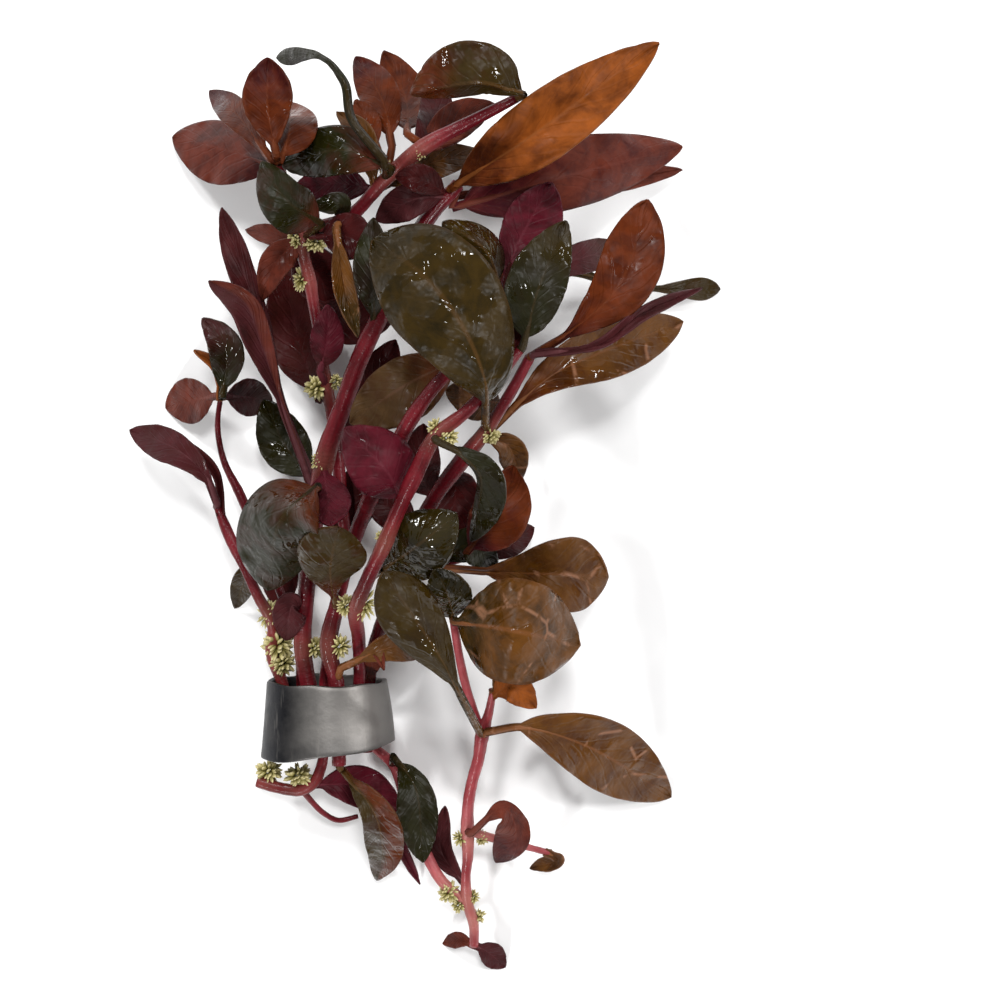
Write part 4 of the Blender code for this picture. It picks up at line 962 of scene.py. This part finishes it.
# papery bracts: yellow-green at the heart, cream at the blunt tips
def bractMaterial():
    made, tree, shader = newMaterial("pale flower bract")
    coords = addNode(tree, "TexCoord")
    place = coords.outputs["Object"]
    tip = addNode(tree, "Attribute", attribute_name="tip")
    patches = addNode(tree, "TexNoise", {"Vector": place, "Scale": 400.0, "Detail": 2.0})
    green = addNode(tree, "Mix", {0: patches, 6: "#6e6624", 7: "#918844"}, data_type="RGBA")
    colour = addNode(
        tree, "Mix", {0: tip.outputs["Fac"], 6: green.outputs[2], 7: "#c6bb8c"},
        data_type="RGBA",
    )
    fuzz = addNode(tree, "TexNoise", {"Vector": place, "Scale": 2400.0, "Detail": 2.0})
    bump = addNode(tree, "Bump", {"Height": fuzz, "Distance": 0.0001, "Strength": 0.5})
    tree.links.new(colour.outputs[2], shader.inputs["Base Color"])
    tree.links.new(bump.outputs[0], shader.inputs["Normal"])
    shader.inputs["Roughness"].default_value = 0.5
    shader.inputs["Specular IOR Level"].default_value = 0.3
    return made


# rolled soft metal strip: painted shade darkens its left side up to a little before the middle, a few long
# scratches
def metalMaterial():
    made, tree, shader = newMaterial("dull grey soft metal")
    dark, lit = ((band["top"][0] + shift.x + out) * mm for out in band["leftShade"])
    low, high = ((band["low"][1] + shift.y + out) * mm for out in band["foot"])
    coords = addNode(tree, "TexCoord")
    place = coords.outputs["Object"]
    split = addNode(tree, "SeparateXYZ", {0: place})
    # painted shade: the strip's left side is darker, fading out a little before the middle
    leftShade = addNode(
        tree, "MapRange", {0: split, 1: dark, 2: lit, 3: 0.0, 4: 1.0},
        interpolation_type="SMOOTHSTEP",
    )
    clouds = addNode(tree, "TexNoise", {"Vector": place, "Scale": 140.0, "Detail": 6.0, "Roughness": 0.65})
    drift = addNode(tree, "Math", {0: clouds, 1: 0.9, 2: -0.45}, operation="MULTIPLY_ADD")
    foot = addNode(tree, "MapRange", {0: split.outputs[1], 1: low, 2: high, 3: 0.3, 4: 1.0})
    side = addNode(tree, "Math", {0: leftShade, 1: foot}, operation="MULTIPLY")
    share = addNode(tree, "Math", {0: side, 1: drift}, operation="ADD", use_clamp=True)
    # dark grey where the painted shade on the left, the darker foot and the clouds call for it, light grey
    # elsewhere
    grey = addNode(tree, "Mix", {0: share, 6: "#2a2a2d", 7: "#74716e"}, data_type="RGBA")
    lines = addNode(tree, "Mapping", {0: place, "Scale": (1.0, 0.12, 0.12)})
    brush = addNode(tree, "TexNoise", {"Vector": lines, "Scale": 900.0, "Detail": 3.0})
    marks = addNode(tree, "MapRange", {0: brush, 1: 0.62, 2: 0.75, 3: 0.0, 4: 0.35})
    worn = addNode(tree, "Mix", {0: marks, 6: grey.outputs[2], 7: "#85817c"}, data_type="RGBA")
    rough = addNode(tree, "MapRange", {0: clouds, 1: 0.3, 2: 0.7, 3: 0.4, 4: 0.55})
    height = addNode(tree, "Math", {0: brush, 1: 0.15, 2: clouds}, operation="MULTIPLY_ADD")
    bump = addNode(tree, "Bump", {"Height": height, "Distance": 0.0004, "Strength": 0.35})
    tree.links.new(worn.outputs[2], shader.inputs["Base Color"])
    tree.links.new(rough.outputs[0], shader.inputs["Roughness"])
    tree.links.new(bump.outputs[0], shader.inputs["Normal"])
    shader.inputs["Metallic"].default_value = 1.0
    return made


stemSkins = {name: stemMaterial(name, *codes) for name, codes in stemColours.items()}
bractSkin = bractMaterial()
metalSkin = metalMaterial()
print("materials ready")


# pieces
def addPiece(name, points, faces, materials, nodes, values=None, uvs=None):
    mesh = bpy.data.meshes.new(name)
    mesh.from_pydata(points, [], faces)
    mesh.update()
    made = bpy.data.objects.new(name, mesh)
    bpy.context.scene.collection.objects.link(made)
    for skin in materials:
        mesh.materials.append(skin)
    if values:
        key, numbers = values
        mesh.attributes.new(key, "FLOAT", "POINT").data.foreach_set("value", numbers)
    if uvs is not None:
        layer = mesh.uv_layers.new(name="UVMap")
        corners = np.empty(len(mesh.loops), dtype=int)
        mesh.loops.foreach_get("vertex_index", corners)
        layer.data.foreach_set("uv", np.asarray(uvs)[corners].ravel())
    mesh.shade_smooth()
    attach(made, "root")
    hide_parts(*nodes)
    return made


# weights that read a smooth curve through count values at fineCount places
def cubicWeights(count, fineCount):
    weights = np.zeros((fineCount, count))
    for row, t in enumerate(np.linspace(0, count - 1, fineCount)):
        i = min(int(t), count - 2)
        f = t - i
        parts = (
            (-0.5 * f + f ** 2 - 0.5 * f ** 3),
            (1 - 2.5 * f ** 2 + 1.5 * f ** 3),
            (0.5 * f + 2 * f ** 2 - 1.5 * f ** 3),
            (-0.5 * f ** 2 + 0.5 * f ** 3),
        )
        for k, part in zip((i - 1, i, i + 1, i + 2), parts):
            weights[row, min(max(k, 0), count - 1)] += part
    return weights


def smoothStep(low, high, value):
    t = np.clip((value - low) / (high - low), 0, 1)
    return t * t * (3 - 2 * t)


def tintOf(rule, u, v):
    if rule == "tip":
        return smoothStep(0.5, 0.85, u) + 0 * v
    if rule == "base":
        return 1 - smoothStep(0.15, 0.5, u) + 0 * v
    if rule == "left":
        return smoothStep(-0.1, 0.4, -v) + 0 * u
    if rule == "right":
        return smoothStep(-0.1, 0.4, v) + 0 * u
    return 0 * u + 0 * v


# two directions square to a line, at each of its points
def acrossAndUp(line):
    ahead = np.gradient(line, axis=0)
    ahead /= np.maximum(np.linalg.norm(ahead, axis=1), 1e-9)[:, None]
    across = np.cross(ahead, (0, 0, 1.0))
    across /= np.maximum(np.linalg.norm(across, axis=1), 1e-6)[:, None]
    return across, np.cross(across, ahead)


# a round stalk that runs on under the blade as its midrib
def addMidrib(name, line, thick, along, skin, node):
    around = bladeForm["around"]
    across, up = acrossAndUp(line)
    points, uvs = [], []
    for i in range(len(line)):
        for k in range(around):
            turn = k / around * 2 * math.pi
            points.append(tuple(line[i] + thick[i] * (across[i] * math.cos(turn) + up[i] * math.sin(turn))))
            uvs.append((along[i], 0.5))
    faces = tubeFaces(len(line), around)
    addPiece(name + "_midrib", points, faces, [skin], [node], ("tint", [0.05] * len(points)), uvs)


for name, stem, midrib, shape, rise, looks in laidLeaves:
    young = name.startswith("young")
    rows, columns = bladeForm["youngGrid"] if young else bladeForm["grid"]
    grid = leafGrid(midrib, *shape, rows, columns, fine=True)
    grid[:, :, 2] += cubicWeights(rise.shape[0], rows) @ rise @ cubicWeights(rise.shape[1], columns).T
    u = np.linspace(0, 1, rows)[:, None]
    v = np.linspace(-1, 1, columns)[None, :]
    width, stalk = shape[0], shape[2]
    seed = (sum(map(ord, name)) % 97) / 97 * 6.28  # each leaf has waves of its own
    body = smoothStep(stalk * 0.8, stalk + 0.15, u) * (1 - smoothStep(0.97, 1.0, u) * 0.5)
    size = width * plan["unit"] / bladeForm["rippleWidth"]
    # bulges between the side veins, a groove along the midrib and a rippled margin
    reach, power = bladeForm["lean"]
    step = u * bladeForm["veins"] - reach * np.abs(v) ** power
    step = step + np.where(v > 0, bladeForm["stagger"], 0)
    detail = -bladeForm["swell"] * np.cos(2 * math.pi * step) * (1 - np.abs(v) ** 3) * body
    depth, narrow = bladeForm["groove"]
    detail -= depth * np.exp(-(v / narrow) ** 2) * body
    high, slow, quick = bladeForm["ripple"]
    margin = np.sin(u * slow + seed + (v > 0) * 1.7)
    margin = margin + 0.6 * np.sin(u * quick + 2.1 * seed + (v > 0) * 2.9)
    detail = detail + high * margin * np.abs(v) ** 4 * body * size
    high, along, across = bladeForm["sway"]
    detail = detail + high * np.sin(u * along + v * across + seed) * body * size
    grid[:, :, 2] = np.maximum(grid[:, :, 2] + detail, bladeForm["lowest"])
    places = [tuple(world(p)) for p in grid.reshape(-1, 3)]
    face, back, second, rule = looks
    skins = [leafSkin(face, second), leafSkin(back, "dark")]
    tint = (tintOf(rule, u, v) * 0.85 + 0.05).ravel()
    uvs = np.stack([(u + 0 * v).ravel(), ((v + 1) / 2 + 0 * u).ravel()], axis=1)
    made = addPiece(
        name + "_blade", places, gridFaces(rows, columns),
        skins, [stem if young else name], ("tint", tint), uvs,
    )
    solid = made.modifiers.new("thickness", "SOLIDIFY")
    solid.thickness = bladeForm["thickness"] * mm
    solid.offset = 0
    solid.material_offset = 1
    solid.use_quality_normals = True
    # the stalk comes out of the stem and thins along the blade's underside
    line = np.array(places).reshape(rows, columns, 3)[:, columns // 2].copy()
    home = stemPaths[stem][0]
    root = world(home[nearest(home, *midrib[0][:2])])
    thick = np.interp(u[:, 0], [0, 0.25, 1], bladeForm["stalk"])
    thick = thick * (bladeForm["youngStalk"] if young else 1.0) * mm
    line[:, 2] -= thick * np.interp(u[:, 0], [0, stalk + 0.02, stalk + 0.2], [0, 0, 0.75])
    line[:, 2] = np.maximum(line[:, 2], thick + 0.0001)
    keep = list(range(0, rows - 1, 2))
    line = np.vstack([[tuple(root)], line[keep]])
    thick = np.concatenate([[bladeForm["root"] * mm], thick[keep]])
    addMidrib(name, line, thick, np.concatenate([[0], u[keep, 0]]), skins[0], stem if young else name)
print("leaves done")


stemForm = {
    "around": 14,  # sides of a stem's skin
    "steps": 6,  # rings to a part of the laid path
    "jointReach": 3.5,  # how far from a joint its swelling fades, mm
    "swelling": 0.14,  # how much thicker a joint is
    "ridges": 0.03,  # depth of the three long ridges, for the radius
    "uneven": 0.02,  # slow and quick changes of the radius
    "jointPale": 0.24,  # paleness at a joint
    "cutPale": 0.6,  # paleness of a cut end
}
for name, lines in laidStems.items():
    flowers = laidFlowers[name]
    joints = [Vector(world((x, y, z))) for x, y, z, *_ in flowers]
    for n, (path, radius) in enumerate(lines):
        weights = cubicWeights(len(path), (len(path) - 1) * stemForm["steps"] + 1)
        line = np.array([world(p) for p in weights @ path])
        across, up = acrossAndUp(line)
        along = np.concatenate([[0], np.cumsum(np.linalg.norm(np.diff(line, axis=0), axis=1))])
        around = stemForm["around"]
        near = np.zeros(len(line))
        fade = stemForm["jointReach"] * mm
        for spotted in joints:
            away = np.linalg.norm(line - np.array(spotted), axis=1)
            near = np.maximum(near, np.exp(-(away / fade) ** 2))
        uneven = stemForm["uneven"] * np.sin(along * 900 + n) + stemForm["uneven"] * np.sin(along * 2300)
        thick = (weights @ radius) * mm * (1 + stemForm["swelling"] * near + uneven)
        points, uvs, values = [], [], []
        for i in range(len(line)):
            for k in range(around + 1):
                turn = k / around * 2 * math.pi
                ridge = 1 + stemForm["ridges"] * math.sin(3 * turn + along[i] * 40)
                out = across[i] * math.cos(turn) + up[i] * math.sin(turn)
                points.append(tuple(line[i] + thick[i] * ridge * out))
                uvs.append((k / around, along[i] * 100))
                values.append(stemForm["jointPale"] * near[i])
        row = around + 1
        faces = gridFaces(len(line), row)
        for end, order in ((0, -1), (len(line) - 1, 1)):
            points.append(tuple(line[end]))
            uvs.append((0.5, along[end] * 100))
            values.append(stemForm["cutPale"])
            middle = len(points) - 1
            for k in range(around):
                a, b = end * row + k, end * row + k + 1
                faces.append((a, b, middle) if order > 0 else (b, a, middle))
        label = name if n == 0 else f"{name}_branch_{n}"
        skin = stemSkins["pink" if name == "stem_loose" else "red"]
        addPiece(label + "_skin", points, faces, [skin], [name], ("joint", values), uvs)
print("stems done")


bract = {
    # each ring's place along the bract, its width and its paleness
    "rings": ((0.0, 0.5, 0.0), (0.35, 0.9, 0.1), (0.7, 0.95, 0.4), (0.93, 0.5, 0.9)),
    "around": 6,
    "flat": 0.5,  # thickness for width
    "count": (26, 1.5),  # bracts in a cluster, and how many more for each plan unit of its width
    "start": 0.3,  # from the cluster's heart, for its half width
    "length": (0.58, 0.86),
    "point": 1.06,  # length with the small point
    "width": (0.17, 0.23),
    "turn": 2.39996,  # from one bract to the next, the golden angle
    "loose": (0.5, 0.2),  # how far its turn and its direction may stray
}


# one blunt bract with a small point, from the cluster's heart outwards
def addBract(points, faces, values, base, axis, length, width):
    side = axis.orthogonal().normalized()
    other = axis.cross(side)
    first = len(points)
    around = bract["around"]
    for at, wide, pale in bract["rings"]:
        for k in range(around):
            turn = k / around * 2 * math.pi
            reach = wide * width
            out = side * (math.cos(turn) * reach) + other * (math.sin(turn) * reach * bract["flat"])
            points.append(tuple(base + axis * (at * length) + out))
            values.append(pale)
    points.append(tuple(base + axis * length * bract["point"]))
    values.append(1.0)
    last = len(bract["rings"]) - 1
    for ring in range(last):
        for k in range(around):
            a, b = first + ring * around + k, first + ring * around + (k + 1) % around
            faces.append((a, b, b + around, a + around))
    for k in range(around):
        faces.append((first + last * around + k, first + last * around + (k + 1) % around, len(points) - 1))
    faces.append(tuple(first + k for k in range(around - 1, -1, -1)))


stray, aside = bract["loose"]
for name, flowers in laidFlowers.items():
    if not flowers:
        continue
    points, faces, values = [], [], []
    for x, y, z, width, stretch, many in flowers:
        heart = Vector(world((x, y, z)))
        reach = width * plan["unit"] / 2 * mm
        count = int(bract["count"][0] + width * bract["count"][1])
        for k in range(count):
            level = 1 - 2 * (k + 0.5) / count
            turn = k * bract["turn"] + random.random() * stray
            flat = math.sqrt(1 - level * level)
            axis = Vector((flat * math.cos(turn), flat * math.sin(turn) * stretch, level))
            axis += Vector([random.uniform(-aside, aside) for _ in range(3)])
            axis.normalize()
            longer = math.sqrt(axis.x ** 2 + (axis.y * stretch) ** 2 + axis.z ** 2)
            length = reach * longer * random.uniform(*bract["length"])
            base = heart + axis * reach * longer * bract["start"]
            addBract(points, faces, values, base, axis, length, reach * random.uniform(*bract["width"]))
    addPiece(name + "_flowers", points, faces, [bractSkin], [name], ("tip", values))
print("flowers done")

# the band: its strip goes round a little more than once, and its end covers its beginning
turns, steps = band["steps"]
tuck, share = band["tuck"]
x0, y0, wide0, high0 = band["top"]
x1, y1, wide1, high1 = band["low"]
points, uvs = [], []
for i in range(turns + 1):
    a = i / turns
    turn = math.radians(band["start"] + a * band["sweep"])
    for j in range(steps + 1):
        along = j / steps
        inset = band["wall"] / 2 + tuck - tuck * min(1.0, a / share)
        wide = wide0 + (wide1 - wide0) * along - inset
        high = high0 + (high1 - high0) * along - inset
        skew = band["skew"] * -math.cos(turn) * along
        dent = band["dents"][0] * math.sin(3 * turn + 1.0) * math.sin(math.pi * along)
        dent += band["dents"][1] * math.sin(9 * turn + 2 * along) * math.sin(math.pi * along)
        edge = band["rims"][0] * math.sin(7 * turn + 2) * (1 - along)
        edge += band["rims"][1] * math.sin(5 * turn) * along
        place = Vector((
            x0 + (x1 - x0) * along + (wide + dent) * math.cos(turn),
            y0 + (y1 - y0) * along - skew + edge,
            max(band["height"] + (high + dent) * math.sin(turn), band["lowest"]),
        ))
        points.append(tuple((place + shift) * mm))
        uvs.append((a, along))
faces = gridFaces(turns + 1, steps + 1)
strip = addPiece("band_strip", points, faces, [metalSkin], ["band"], None, uvs)
wall = strip.modifiers.new("wall", "SOLIDIFY")
wall.thickness = band["wall"] * mm
wall.offset = 0
bevel = strip.modifiers.new("rounded rims", "BEVEL")
bevel.width = band["rounding"] * mm
bevel.segments = 2
print("band done")

# floor, light and camera
floorMesh = bpy.data.meshes.new("floor")
half = 6.0  # half the floor's width, m
corners = [(-half, -half, 0), (half, -half, 0), (half, half, 0), (-half, half, 0)]
floorMesh.from_pydata(corners, [], [(0, 1, 2, 3)])
floor = bpy.data.objects.new("floor", floorMesh)
bpy.context.scene.collection.objects.link(floor)
paper, paperTree, paperShader = newMaterial("white paper surface")
grain = addNode(paperTree, "TexNoise", {"Scale": 900.0, "Detail": 2.0})
tone = addNode(paperTree, "MapRange", {0: grain, 1: 0.3, 2: 0.7, 3: 0.92, 4: 0.94})
paperTree.links.new(tone.outputs[0], paperShader.inputs["Base Color"])
paperShader.inputs["Roughness"].default_value = 0.85
paperShader.inputs["Specular IOR Level"].default_value = 0.2
floorMesh.materials.append(paper)

lamps = [
    # name, place, size and power
    ("key", (0.1, 0.38, 1.15), 0.2, 6.0),
    ("back left", (-0.6, 0.8, 0.8), 0.16, 7.6),
    ("right", (1.0, 0.15, 0.8), 0.16, 7.6),
    ("front left", (-0.35, -0.95, 0.8), 0.16, 7.6),
]
for name, place, size, power in lamps:
    light = bpy.data.lights.new(name, "AREA")
    light.energy = power
    light.shape = "DISK"
    light.size = size
    lamp = bpy.data.objects.new(name, light)
    lamp.location = place
    lamp.rotation_mode = "QUATERNION"
    lamp.rotation_quaternion = (-Vector(place)).to_track_quat("-Z", "Y")
    bpy.context.scene.collection.objects.link(lamp)

sky = bpy.data.worlds.new("studio")
bpy.context.scene.world = sky
sky.use_nodes = True
background = sky.node_tree.nodes["Background"]
background.inputs["Color"].default_value = (1, 1, 1, 1)
background.inputs["Strength"].default_value = 0.42
bpy.context.scene.view_settings.view_transform = "Standard"

eye = bpy.data.cameras.new("camera")
eye.sensor_width = 36.0
# the whole plan fills the picture
eye.lens = eye.sensor_width * (plan["eye"] - plan["middle"]) / (1000 * plan["unit"])
camera = bpy.data.objects.new("camera", eye)
camera.location = (shift.x * mm, shift.y * mm, (plan["eye"] + shift.z) * mm)
bpy.context.scene.collection.objects.link(camera)
bpy.context.scene.camera = camera
